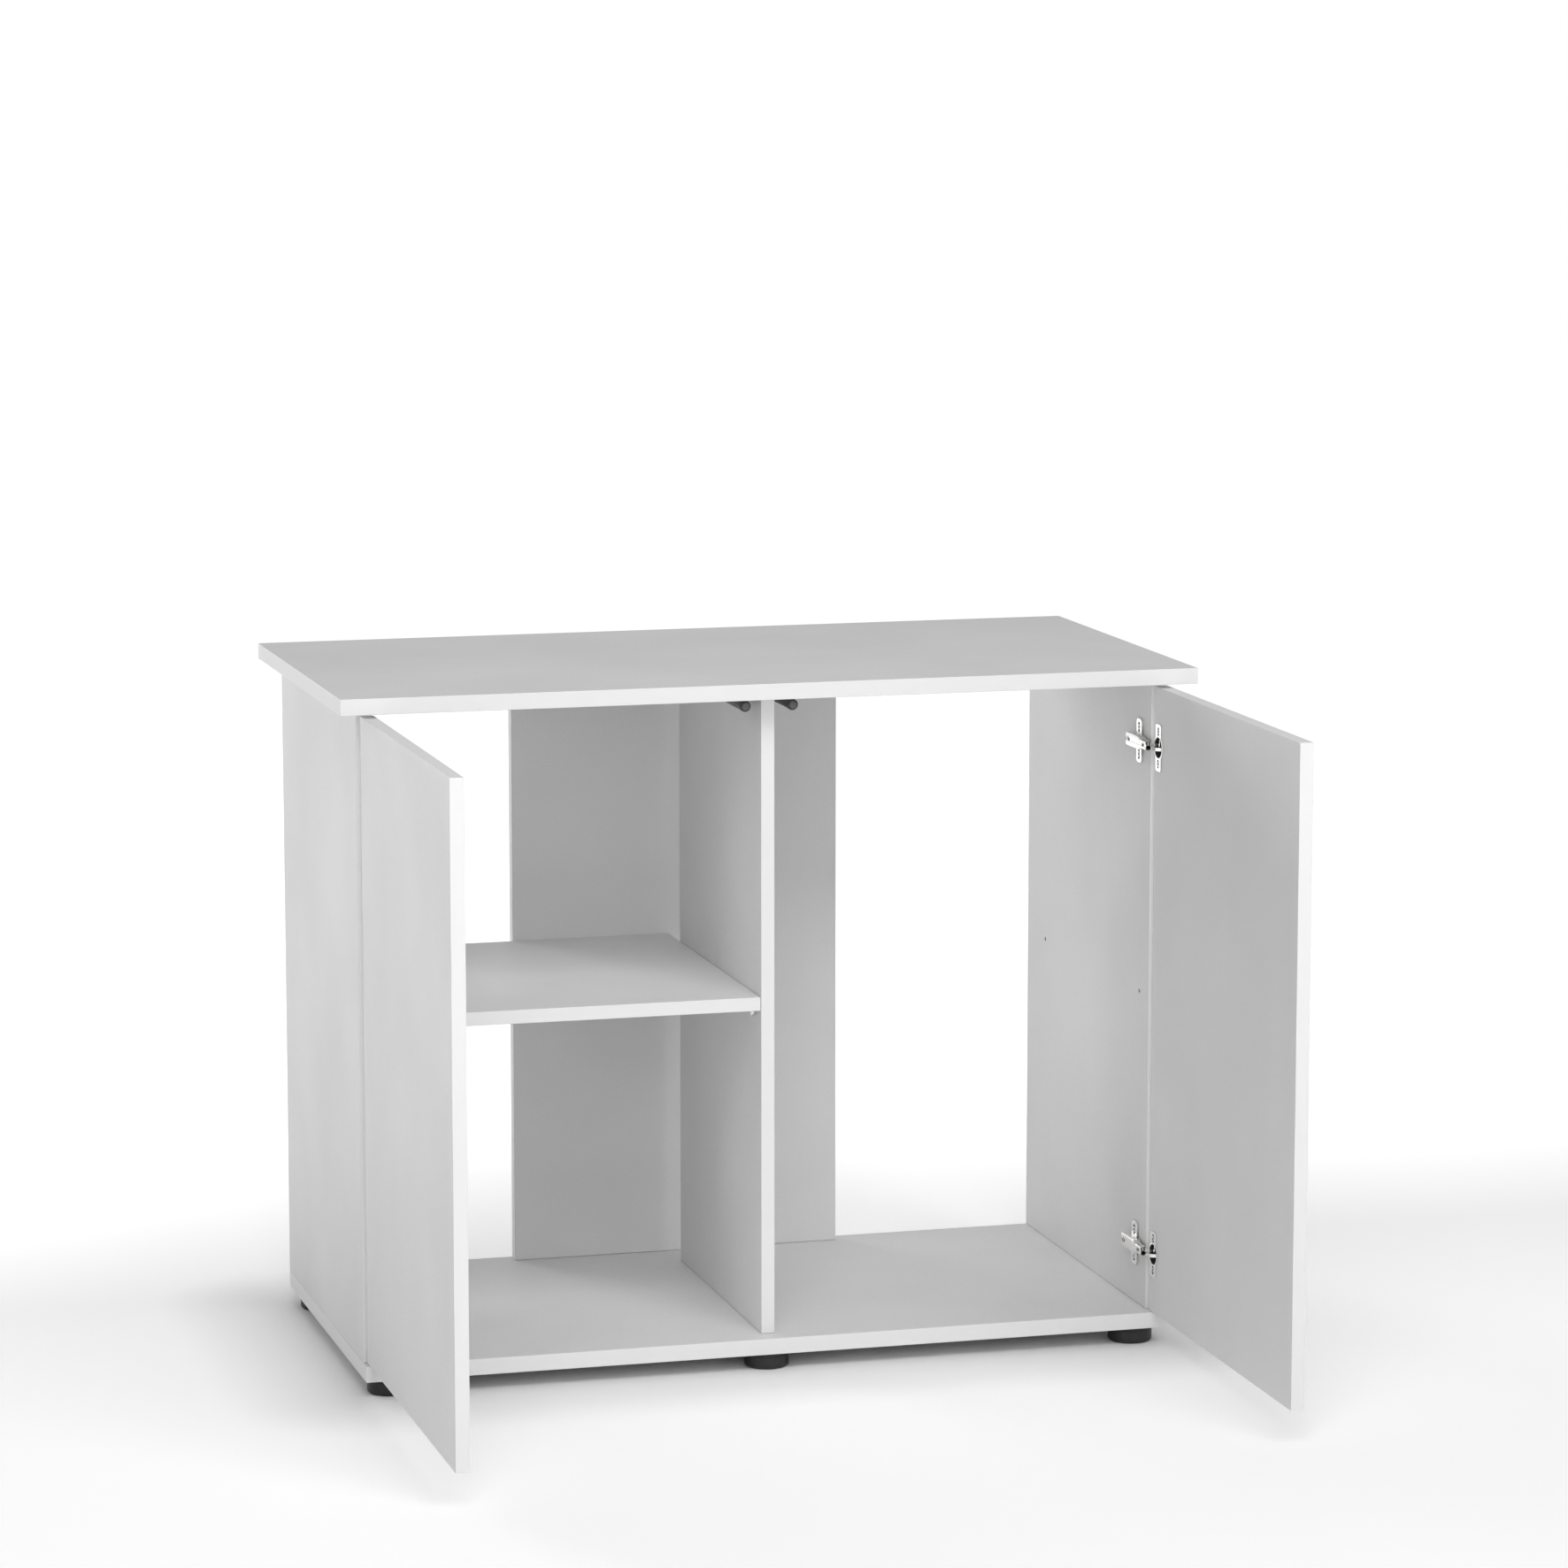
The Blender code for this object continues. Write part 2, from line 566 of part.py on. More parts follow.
def door_assembly(side, board, steel, zinc, cabinet):
    """Door, hinges and screws of one side, with an empty on each axis of rotation."""
    name = SIDE_NAMES[side]
    outer_axis = empty(f"outer_link_axis_{name}", (side * ARM_PIN[0], ARM_PIN[1], 0), cabinet)
    door_axis = empty(f"door_axis_{name}", (side * CUP_PIN[0], CUP_PIN[1], 0), outer_axis)
    inner_axis = empty(f"inner_link_axis_{name}", (side * INNER_PIN[0], INNER_PIN[1], 0),
                       door_axis)
    door(side, board, door_axis)
    screws(side, zinc, cabinet, door_axis)
    below = (-LINK_Z[1], -LINK_Z[0])
    for level, z in HINGE_LEVELS.items():
        hinge_cup(side, level, steel, door_axis)
        hinge_arm(side, level, steel, cabinet)
        mounting_plate(side, level, steel, cabinet)
        link(f"hinge_outer_link_{name}_{level}", (ARM_PIN, BEND_POINT, CUP_PIN),
             (ARM_PIN, CUP_PIN), LINK_Z, z, side, steel, outer_axis)
        link(f"hinge_inner_link_{name}_{level}", (INNER_PIN, INNER_BEND, INNER_END),
             (INNER_PIN,), below, z, side, steel, inner_axis)


# ---------------------------------------------------------------- push latches

def latch_housing(side, material, parent):
    """Tube under the top panel, hung from a screwed tab by a narrow saddle."""
    axis_z = TOP_UNDERSIDE - LATCH_DROP
    tube = [(0, LATCH_L), (LATCH_R, LATCH_L), (LATCH_R, LATCH_BEVEL), (LATCH_R - LATCH_BEVEL, 0),
            (LATCH_BORE_R, 0), (LATCH_BORE_R, LATCH_BORE_L), (0, LATCH_BORE_L)]
    x = side * LATCH_X
    housing = turned(f"latch_housing_{SIDE_NAMES[side]}", tube,
                     axis_frame((x, LATCH_FRONT, axis_z), (0, 1, 0)), LATCH_SIDES)
    start = LATCH_FRONT + SADDLE_INSET
    end = start + SADDLE_L
    saddle = box("saddle", (x - SADDLE_HALF_W, start, axis_z + LATCH_BORE_R + SADDLE_LIFT),
                 (x + SADDLE_HALF_W, end, TOP_UNDERSIDE - TAB_T / 2))
    tab = box("tab", (x - TAB_HALF_W, start - TAB_LIP, TOP_UNDERSIDE - TAB_T),
              (x + TAB_HALF_W, end + TAB_LIP, TOP_UNDERSIDE))
    combine(saddle, tab, "UNION")
    combine(housing, saddle, "UNION")
    finish(housing, material, parent)


def latch_plunger(side, material, cabinet):
    """Sprung pin inside the housing; it slides along its own axis."""
    place = (side * LATCH_X, PLUNGER_FRONT, TOP_UNDERSIDE - LATCH_DROP)
    parent = empty(f"plunger_axis_{SIDE_NAMES[side]}", place, cabinet)
    profile = [(0, 0), (PLUNGER_R - PLUNGER_BEVEL, 0), (PLUNGER_R, PLUNGER_BEVEL),
               (PLUNGER_R, PLUNGER_L), (0, PLUNGER_L)]
    plunger = turned(f"latch_plunger_{SIDE_NAMES[side]}", profile,
                     axis_frame(place, (0, 1, 0)), PLUNGER_SIDES)
    finish(plunger, material, parent)


def main():
    clear_scene()
    board = white_board()
    steel = nickel_steel()
    zinc = zinc_screw()
    cabinet = empty("cabinet", (0, 0, 0))
    plain_boards(board, cabinet)
    centre_divider(board, cabinet)
    shelf_pins(steel, cabinet)
    feet(black_plastic(), cabinet)
    housing = dark_plastic()
    tip = grey_plastic()
    for side in (LEFT, RIGHT):
        side_panel(side, board, cabinet)
        door_assembly(side, board, steel, zinc, cabinet)
        latch_housing(side, housing, cabinet)
        latch_plunger(side, tip, cabinet)
    cabinet.location.y = SHIFT


main()
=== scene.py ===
"""Looks of the aquarium stand cabinet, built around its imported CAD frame.

The boards stay the CAD's own nodes, each with a melamine material that knows the board's
box. Hinges, screws, latches, feet and shelf pins are finer pieces that replace their nodes.

Metres, +Z up, +X to the cabinet's right as seen from the front, +Y to its back. The pieces of
the right-hand side are described, and those of the left-hand side are their mirror images.
"""

import json
from itertools import product
from math import asin, atan2, cos, pi, radians, sin

import bpy
import bmesh
from mathutils import Matrix, Vector


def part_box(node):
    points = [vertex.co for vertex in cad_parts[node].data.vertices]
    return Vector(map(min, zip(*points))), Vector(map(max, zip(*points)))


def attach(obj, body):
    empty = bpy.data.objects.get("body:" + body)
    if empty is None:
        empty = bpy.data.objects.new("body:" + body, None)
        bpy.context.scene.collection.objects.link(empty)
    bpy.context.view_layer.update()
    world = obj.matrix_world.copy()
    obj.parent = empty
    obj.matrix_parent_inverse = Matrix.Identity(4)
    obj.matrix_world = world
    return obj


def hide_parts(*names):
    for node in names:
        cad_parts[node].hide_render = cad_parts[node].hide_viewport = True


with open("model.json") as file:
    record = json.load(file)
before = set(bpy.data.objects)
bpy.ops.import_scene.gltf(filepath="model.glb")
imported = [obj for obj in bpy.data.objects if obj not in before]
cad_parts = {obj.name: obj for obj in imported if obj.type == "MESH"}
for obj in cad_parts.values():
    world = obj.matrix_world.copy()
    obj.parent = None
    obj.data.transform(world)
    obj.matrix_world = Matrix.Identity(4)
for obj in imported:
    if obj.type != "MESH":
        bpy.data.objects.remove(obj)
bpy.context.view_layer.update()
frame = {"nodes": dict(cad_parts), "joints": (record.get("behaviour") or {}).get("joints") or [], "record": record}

RIGHT, LEFT = 1, -1
SIDE_NAMES = {RIGHT: "right", LEFT: "left"}
LEVELS = ("lower", "upper")
ENDS = {"bottom": -1, "top": 1}
SLOTS = {part["node"]: part["material_slot"] for part in frame["record"]["subparts"]}
PIVOTS = {joint["name"]: joint["pos_m"] for joint in frame["joints"] if "pos_m" in joint}
BODIES = {node: body for body, nodes in frame["record"]["behaviour"]["bodies"].items()
          for node in nodes}

# Camera: in front of the cabinet, to its left and above it
CAMERA_PLACE = (-1.6675, -6.0719, 1.6562)
CAMERA_TURN = 15.496            # degrees to the right of straight ahead
CAMERA_DOWN = 8.744             # degrees below the horizon
CAMERA_LENS = 127.87            # millimetres
SENSOR = 36.0                   # millimetres

# Light
AIM = (0.0, 0.0, 0.4)           # every lamp points at the middle of the cabinet
LAMPS = {                       # place, width and height, and watts
    "front": ((-1.2, -5.5, 2.2), (3.0, 2.5), 44.0),
    "back_left": ((-2.6, 4.6, 1.8), (2.0, 2.0), 64.0),
    "top_front": ((0.0, -3.2, 3.8), (4.0, 2.0), 104.0),
}
SKY_FRONT = 0.42                # strength of the soft surroundings, by direction
SKY_BACK = 0.66
SKY_TOP = 0.36
SKY_RIGHT = 0.25
FLOOR_SIZE = 150.0
FLOOR_TONE = 0.92
FLOOR_GLOW_NEAR = 0.23          # painted light: glow of the floor close round the cabinet; none under it, which paints the cabinet's shade there
FLOOR_GLOW_FAR = 0.45           # painted light added to it far away and behind the cabinet
FLOOR_NEAR = (0.0, 0.16)        # distances from the carcass between which each part grows
FLOOR_FAR = (1.4, 4.0)
FLOOR_BACK = (0.05, 0.9)

# Shape of small pieces
WELD = 0.000001
SHARP_ANGLE = radians(40)
OVERCUT = 0.002
ROUND_SIDES = 48
PIN_SIDES = 20
SCREW_SIDES = 32
HEART_SIDES = 12                # of the cone in the middle of a cross recess
FOOT_SIDES = 96
CORNER_STEPS = 5
SMALL_CORNER_STEPS = 4

# Hinges
FLANGE_T = 0.0009
FLANGE_HALF_W = 0.0090
FLANGE_HALF_L = 0.0275
FLANGE_ROUND_R = 0.0145
FLANGE_CORNER_R = 0.0035
CUP_R = 0.0130
CUP_INNER_R = 0.0121
CUP_FLOOR = 0.0008
CUP_CORNER_R = 0.0020           # round the cup's floor, outside
CUP_INNER_CORNER_R = 0.0015
CUP_LIP_R = 0.0005              # rolled lip round the cup's mouth
CUP_LIP_STEPS = 12
CUP_LIP_SUNK = 0.00035          # how deep the lip's middle lies, so that the links pass it
CUP_SCREW_Z = 0.019
PIN_R = 0.0009
PIN_TIP_R = 0.8                 # share of the pin's radius left at its chamfered end
PIN_CHAMFER = 0.2               # length of that chamfer, as a share of the radius
RIVET_R = (1.7, 1.4)            # of the rivet's head, at its foot and crown, in pin radii
RIVET_H = (0.0004, 0.0006)      # height of the crown's rim and of its middle
RIVET_SUNK = 0.0001
WING_T = 0.0022
WING_HALF_W = 0.0090
WING_CORNER_R = 0.0050
WING_SCREW_Z = 0.016
BLOCK_HALF_H = 0.0066
BLOCK_SHORT = 0.0004            # how far the block stops before the wings' back
SLOT_HALF_W = 0.0029            # slots that the screws sit in
SLOT_HALF_L = 0.0060
FLANGE_SLOT_HALF_L = 0.0052
WING_SLOT_DEPTH = 0.0016
FLANGE_SLOT_DEPTH = 0.0006
ARM_WALL = 0.0009
ARM_CORNER = 0.0014
ARM_FRONT_HALF = 0.0052
ARM_FLARE = (0.0176, 0.0276)    # where the arm widens, behind its front end
ARM_FLARE_STEPS = 8
ARM_GROOVE = 0.0005             # depth of the groove pressed along the arm
ARM_GROOVE_HALF = 0.0015
ARM_NOTCH = 0.0085              # length of the open notch at the arm's rear end
ARM_NOTCH_HALF = 0.0024
ARM_WINDOW = (0.0080, 0.0150)   # front window, behind the arm's front end
ARM_WINDOW_HALF = 0.0018
ADJUSTER_PROUD = 0.0002         # how far the rim of an adjusting screw stands off the arm
LINK_HALF_W = 0.0013
LINK_EYE_R = 0.0020
LINK_HOLE_R = 0.0012
LINK_EXTRA = 0.00075            # how much taller a link is than its node, away from the other
EYE_STEPS = 20
OUTER_BEND = (0.0041, -0.0104)  # bend of the outer link, from its pin in the arm
INNER_BEND = (-0.0070, 0.0035)  # bend of the inner link, from its pin in the cup
INNER_END = (-0.0104, 0.0230)   # its free end, from the same pin
SHEET_SOFT = 0.00018            # rounding of the edges of cups and arms
PLATE_SOFT = 0.00035
LINK_SOFT = 0.00022

# Screws: head radius, shank radius, height of the domed head, depth of the cone, length
CUP_SCREW = (0.0032, 0.00175, 0.0005, 0.0015, 0.0110)
WING_SCREW = (0.0036, 0.00175, 0.0006, 0.0018, 0.0140)
REAR_ADJUSTER = (0.0036, 0.0020, 0.0003, 0.0004, 0.0022)
FRONT_ADJUSTER = (0.0024, 0.0015, 0.0003, 0.0004, 0.0010)
SMALL_SCREW = (0.0024, 0.0012, 0.0004, 0.0004, 0.0012)
RECESS_SHARE = 0.62             # the cross recess reaches this share of the head's radius
RECESS_HALF_W = 0.00042
RECESS_DEPTH = 0.9              # the recess's arms reach this share of the cone's depth
HEART_R = (0.48, 0.3)           # radii of its middle, at mouth and bottom, in arm lengths
DOME_STEPS = 6
THREADS = 7
THREAD_RISE = 0.00035
THREAD_SHAPE = (0.25, 0.5)      # where a thread's crest and its end lie, in pitches
POINT_R = 0.5                   # a threaded screw's point, as a share of its shank's radius

# Angles that the screws' recesses are turned by, in radians
HINGE_SCREW_TURN = 0.9          # from each hinge screw to the next
ADJUSTER_TURN = {"rear": 1.1, "front": 0.2}
ADJUSTER_SIDE_TURN = 0.6        # added on the right and taken off on the left
TAB_SCREW_TURN = 90             # for each metre along Y
FOOT_SCREW_TURN = (9, 5)        # for each metre along X and along Y

# Push latches
LATCH_R = 0.0065
LATCH_BODY_R = 0.0060
LATCH_BORE_R = 0.0049
LATCH_COLLAR_L = 0.0050
LATCH_BORE_L = 0.0680
LATCH_DROP = 0.0115             # axis below the top panel
LATCH_MOUTH_R = 0.0008          # rounding of the front rim
LATCH_TAIL_R = 0.0020
COLLAR_STEP = 0.0005
HOUSING_SOFT = 0.0003
SADDLE_HALF_W = 0.0035
SADDLE_OFF_BORE = 0.00025
SADDLE = (0.0200, 0.0500)       # saddle's ends, behind the front of the latch
TAB_HALF_W = 0.0110
TAB_T = 0.0020
TAB_LIP = 0.0020
TAB_SCREW_X = 0.0073
TAB_SCREW_Y = 0.0070            # inwards from the saddle's ends
TAB_SCREW_SUNK = 0.0001
PLUNGER_FACE = 0.86             # share of the plunger's radius that its domed face takes
PLUNGER_DOME = 0.0003
PLUNGER_RIM_R = 0.0007
PLUNGER_RIM_Y = 0.0011
PLUNGER_GROOVE = 0.0004         # depth of the groove
PLUNGER_GROOVE_Y = (0.0019, 0.0021, 0.0025, 0.0027)      # its start, its floor's ends, its end

# Feet and shelf pins
FOOT_ROUND = 0.0040
FOOT_GROOVE = 0.0004
FOOT_GROOVE_Z = 0.0152
FOOT_TOP_R = 0.0006
FOOT_RIM_STEPS = 8
FOOT_TOP_STEPS = 3
FOOT_WELL_R = 0.0075            # well under the foot, with the screw in it
FOOT_WELL_H = 0.0110
FOOT_WELL_TAPER = 0.0010
FOOT_WELL_LIP = 0.0008
FOOT_SCREW_PROUD = 0.0004
SHELF_PIN_STEM_R = 0.0025
SHELF_PIN_COLLAR_L = 0.0060
SHELF_PIN_NECK_R = 0.0042
SHELF_PIN_ROUND = 0.0009
SHELF_PIN_CONE = (0.0012, 0.0006)       # where the collar narrows to the neck, before the face
SHELF_PIN_TIP = 0.0006


# ---------------------------------------------------------------- shader nodes

def new_material(name):
    material = bpy.data.materials.new(name)
    material.use_nodes = True
    return material, material.node_tree, material.node_tree.nodes["Principled BSDF"]


def feed(tree, socket, value):
    """Link value to a socket if it is a socket itself, and set it otherwise."""
    if isinstance(value, bpy.types.NodeSocket):
        tree.links.new(value, socket)
    else:
        socket.default_value = value


def calc(tree, operation, *values):
    made = tree.nodes.new("ShaderNodeMath")
    made.operation = operation
    for socket, value in zip(made.inputs, values):
        feed(tree, socket, value)
    return made.outputs["Value"]


def vector_calc(tree, operation, *values):
    made = tree.nodes.new("ShaderNodeVectorMath")
    made.operation = operation
    for socket, value in zip(made.inputs, values):
        feed(tree, socket, value)
    return made.outputs["Value" if operation in ("DOT_PRODUCT", "LENGTH") else "Vector"]


def split(tree, vector):
    made = tree.nodes.new("ShaderNodeSeparateXYZ")
    feed(tree, made.inputs["Vector"], vector)
    return [made.outputs[axis] for axis in "XYZ"]


def spread(tree, value, low, high, out_low=0.0, out_high=1.0):
    """Value mapped from one range to another, and held inside it."""
    made = tree.nodes.new("ShaderNodeMapRange")
    feed(tree, made.inputs["Value"], value)
    for name, number in (("From Min", low), ("From Max", high),
                         ("To Min", out_low), ("To Max", out_high)):
        made.inputs[name].default_value = number
    return made.outputs["Result"]


def blend_colours(tree, share, first, second):
    made = tree.nodes.new("ShaderNodeMix")
    made.data_type = "RGBA"
    feed(tree, made.inputs[0], share)
    for socket, colour in ((made.inputs[6], first), (made.inputs[7], second)):
        feed(tree, socket, colour if isinstance(colour, bpy.types.NodeSocket) else (*colour, 1))
    return made.outputs[2]


def noise(tree, place, scale, detail=3.0):
    made = tree.nodes.new("ShaderNodeTexNoise")
    feed(tree, made.inputs["Vector"], place)
    made.inputs["Scale"].default_value = scale
    made.inputs["Detail"].default_value = detail
    return made.outputs["Fac"]


def finish_surface(tree, shader, colour, roughness, height, depth):
    """Link a colour and a roughness to a shader, and a relief of a depth in metres."""
    tree.links.new(colour, shader.inputs["Base Color"])
    tree.links.new(roughness, shader.inputs["Roughness"])
    bump = tree.nodes.new("ShaderNodeBump")
    bump.inputs["Distance"].default_value = depth
    feed(tree, bump.inputs["Height"], height)
    tree.links.new(bump.outputs["Normal"], shader.inputs["Normal"])


def coordinates(tree):
    return tree.nodes.new("ShaderNodeTexCoord").outputs


# ---------------------------------------------------------------- materials

BOARD_WHITE = (0.76, 0.76, 0.76)
BOARD_SHADE = (0.705, 0.705, 0.708)
EDGE_WHITE = (0.80, 0.80, 0.80)
GLUE_GREY = (0.52, 0.51, 0.49)
CHIP_LIGHT = (0.46, 0.33, 0.20)
CHIP_DARK = (0.17, 0.10, 0.055)
NICKEL_LIGHT = (0.88, 0.87, 0.855)
NICKEL_HAZE = (0.78, 0.77, 0.755)
# painted shade: near-black tones for the faces of slots, recesses and channels, standing in for the shade in them
PAINTED_SHADE_DARK = (0.018, 0.018, 0.019)
PAINTED_SHADE_PALE = (0.035, 0.035, 0.037)
ZINC_LIGHT = (0.74, 0.74, 0.76)
ZINC_BLUE = (0.58, 0.59, 0.62)
FOOT_DARK = (0.013, 0.013, 0.014)
FOOT_LIGHT = (0.022, 0.022, 0.023)
HOUSING_DARK = (0.036, 0.037, 0.039)
HOUSING_LIGHT = (0.052, 0.053, 0.055)
TIP_DARK = (0.095, 0.097, 0.100)
TIP_LIGHT = (0.125, 0.127, 0.130)

BAND_T = 0.0008                 # thickness of the edge band, seen at the rim of a face
GLUE_LINE = 0.00012
SKIN_T = 0.0006                 # deeper than this, a board shows its chipboard core

# Scales of the noises and chips, in cells per metre
BOARD_CLOUD = 5.0
BOARD_SPECKLE = 420.0
BOARD_PORES = 1300.0
CORE_CHIPS = 700.0
NICKEL_CLOUD = 260.0
NICKEL_LINES = 2600.0
LINES_STRETCH = (1.0, 0.12, 1.0)        # the pressing's lines run along Y
ZINC_STAIN = 900.0
PAINTED_SHADE_MOTTLE = 1200.0
FOOT_GRAIN = 2200.0
LATCH_GRAIN = 2600.0
GRAIN_PER_FLOW = 30             # flow marks are this many times coarser than the grain
RING_PITCH = 0.00022            # of the turning marks on a screw, in metres

# How noises are used: the values that a contrast is stretched between, and shares of mixes
NOISE_WIDE = (0.3, 0.7)
NOISE_NARROW = (0.35, 0.65)
HAZE_SPAN = (0.35, 0.7)
CHIP_SPAN = (0.1, 0.9)
LINES_SPAN = (0.4, 0.95)
SPECKLE_SHARE = 0.45            # in a board's mottle; the rest is cloud
SPECKLE_RELIEF = 0.6            # beside the pores
LINES_SHARE = 0.35              # beside the haze

# Roughness, as a range, and for plastics as a middle value with a spread about it
BOARD_ROUGH = (0.42, 0.52)
CORE_ROUGH = 0.9
NICKEL_ROUGH = (0.11, 0.26)
ZINC_ROUGH = (0.16, 0.32)
RECESS_ROUGH = (0.45, 0.7)
FOOT_ROUGH = 0.42
HOUSING_ROUGH = 0.48
TIP_ROUGH = 0.50
PLASTIC_SPREAD = (-0.06, 0.08)
FLOOR_ROUGH = 0.9

# Specular levels
BOARD_SPECULAR = 0.3
FLOOR_SPECULAR = 0.1

# Depth of the reliefs, in metres
BOARD_RELIEF = 0.000012
NICKEL_RELIEF = 0.000003
ZINC_RELIEF = 0.0000015
RECESS_RELIEF = 0.00001
PLASTIC_RELIEF = 0.00002


def core_colour(tree, place):
    """Chips of wood in glue, as a drilled hole shows them."""
    chips = tree.nodes.new("ShaderNodeTexVoronoi")
    feed(tree, chips.inputs["Vector"], place)
    chips.inputs["Scale"].default_value = CORE_CHIPS
    share = spread(tree, chips.outputs["Distance"], *CHIP_SPAN)
    return blend_colours(tree, share, CHIP_LIGHT, CHIP_DARK)


def board_masks(tree, name, place, normal):
    """Where a board has its edge band, the band's glue line, and its chipboard core."""
    low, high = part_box(name)
    middle, half = (low + high) / 2, (high - low) / 2
    thin = min(range(3), key=lambda axis: half[axis])
    offset = vector_calc(tree, "ABSOLUTE", vector_calc(tree, "SUBTRACT", place, middle))
    inset = split(tree, vector_calc(tree, "SUBTRACT", tuple(half), offset))
    rim = calc(tree, "MINIMUM", *[inset[axis] for axis in range(3) if axis != thin])
    core = spread(tree, calc(tree, "MINIMUM", rim, inset[thin]), SKIN_T, SKIN_T + GLUE_LINE)
    facing = calc(tree, "ABSOLUTE", split(tree, normal)[thin])
    band = calc(tree, "LESS_THAN", facing, 0.5)
    from_glue = calc(tree, "ABSOLUTE", calc(tree, "SUBTRACT", rim, BAND_T))
    glue = calc(tree, "MULTIPLY", calc(tree, "LESS_THAN", from_glue, GLUE_LINE / 2),
                calc(tree, "SUBTRACT", 1.0, band))
    return band, glue, core


def board_material(name):
    """White melamine with a banded edge, laid out from the board's own box."""
    material, tree, shader = new_material("melamine_" + name)
    place, normal = coordinates(tree)["Object"], coordinates(tree)["Normal"]
    band, glue, core = board_masks(tree, name, place, normal)
    cloud = noise(tree, place, BOARD_CLOUD, 2.0)
    speckle = noise(tree, place, BOARD_SPECKLE)
    pores = noise(tree, place, BOARD_PORES, 2.0)
    mottle = calc(tree, "MULTIPLY_ADD", speckle, SPECKLE_SHARE,
                  calc(tree, "MULTIPLY", cloud, 1 - SPECKLE_SHARE))
    face = blend_colours(tree, spread(tree, mottle, *NOISE_NARROW), BOARD_WHITE, BOARD_SHADE)
    white = blend_colours(tree, band, face, EDGE_WHITE)
    lined = blend_colours(tree, glue, white, GLUE_GREY)
    colour = blend_colours(tree, core, lined, core_colour(tree, place))
    gloss = spread(tree, mottle, *NOISE_WIDE, *BOARD_ROUGH)
    dulled = calc(tree, "MAXIMUM", gloss, calc(tree, "MULTIPLY", core, CORE_ROUGH))
    height = calc(tree, "MULTIPLY_ADD", speckle, SPECKLE_RELIEF, pores)
    finish_surface(tree, shader, colour, dulled, height, BOARD_RELIEF)
    shader.inputs["Specular IOR Level"].default_value = BOARD_SPECULAR
    return material


def nickel_material():
    """Bright plated steel with a faint haze and the fine lines of the pressing."""
    material, tree, shader = new_material("nickel_plate")
    place = coordinates(tree)["Object"]
    haze = noise(tree, place, NICKEL_CLOUD)
    lines = noise(tree, vector_calc(tree, "MULTIPLY", place, LINES_STRETCH), NICKEL_LINES, 2.0)
    colour = blend_colours(tree, spread(tree, haze, *HAZE_SPAN), NICKEL_LIGHT, NICKEL_HAZE)
    mixed = calc(tree, "MULTIPLY_ADD", lines, LINES_SHARE, haze)
    dull = spread(tree, mixed, *LINES_SPAN, *NICKEL_ROUGH)
    finish_surface(tree, shader, colour, dull, lines, NICKEL_RELIEF)
    shader.inputs["Metallic"].default_value = 1.0
    return material


def zinc_material():
    """Zinc-plated screw with turning marks about its own axis."""
    material, tree, shader = new_material("bright_zinc")
    place = coordinates(tree)["Object"]
    across = split(tree, place)
    radius = calc(tree, "SQRT", calc(tree, "MULTIPLY_ADD", across[0], across[0],
                                     calc(tree, "MULTIPLY", across[1], across[1])))
    rings = calc(tree, "SINE", calc(tree, "MULTIPLY", radius, 2 * pi / RING_PITCH))
    stain = noise(tree, place, ZINC_STAIN)
    colour = blend_colours(tree, spread(tree, stain, *NOISE_WIDE), ZINC_LIGHT, ZINC_BLUE)
    dull = spread(tree, stain, *NOISE_WIDE, *ZINC_ROUGH)
    finish_surface(tree, shader, colour, dull, rings, ZINC_RELIEF)
    shader.inputs["Metallic"].default_value = 1.0
    return material


def painted_shade_material():
    """Painted shade: near-black metal at the bottom of slots and inside pressed channels, dark to stand in for the
    shade there.
    """
    material, tree, shader = new_material("painted_shade_recess")
    shade_mottle = noise(tree, coordinates(tree)["Object"], PAINTED_SHADE_MOTTLE)
    colour = blend_colours(tree, spread(tree, shade_mottle, *NOISE_WIDE), PAINTED_SHADE_DARK, PAINTED_SHADE_PALE)
    dull = spread(tree, shade_mottle, *NOISE_WIDE, *RECESS_ROUGH)
    finish_surface(tree, shader, colour, dull, shade_mottle, RECESS_RELIEF)
    return material


def plastic_material(name, dark, light, roughness, grain):
    """Moulded plastic with a spark-eroded grain."""
    material, tree, shader = new_material(name)
    place = coordinates(tree)["Object"]
    fine = noise(tree, place, grain, 2.0)
    flow = noise(tree, place, grain / GRAIN_PER_FLOW, 2.0)
    tone = calc(tree, "MULTIPLY_ADD", fine, 0.5, calc(tree, "MULTIPLY", flow, 0.5))
    colour = blend_colours(tree, spread(tree, tone, *NOISE_NARROW), dark, light)
    dull = spread(tree, tone, *NOISE_WIDE, roughness + PLASTIC_SPREAD[0],
                  roughness + PLASTIC_SPREAD[1])
    finish_surface(tree, shader, colour, dull, fine, PLASTIC_RELIEF)
    return material


BARE = bpy.data.materials.new("bare")           # a shape's finish until it is dressed
# painted shade, given to the faces that dark cuts leave
PAINTED_SHADE = painted_shade_material()
MATERIALS = {
    "nickel": nickel_material(),
    "screw": zinc_material(),
    "foot": plastic_material("black_foot_plastic", FOOT_DARK, FOOT_LIGHT, FOOT_ROUGH,
                             FOOT_GRAIN),
    "latch_body": plastic_material("latch_body_plastic", HOUSING_DARK, HOUSING_LIGHT,
                                   HOUSING_ROUGH, LATCH_GRAIN),
    "latch_tip": plastic_material("latch_tip_plastic", TIP_DARK, TIP_LIGHT, TIP_ROUGH,
                                  LATCH_GRAIN),
}


# ---------------------------------------------------------------- shapes

def arc(centre, radius, start, end, steps):
    """Points on an arc, both ends included."""
    return [(centre[0] + radius * cos(start + (end - start) * i / steps),
             centre[1] + radius * sin(start + (end - start) * i / steps))
            for i in range(steps + 1)]


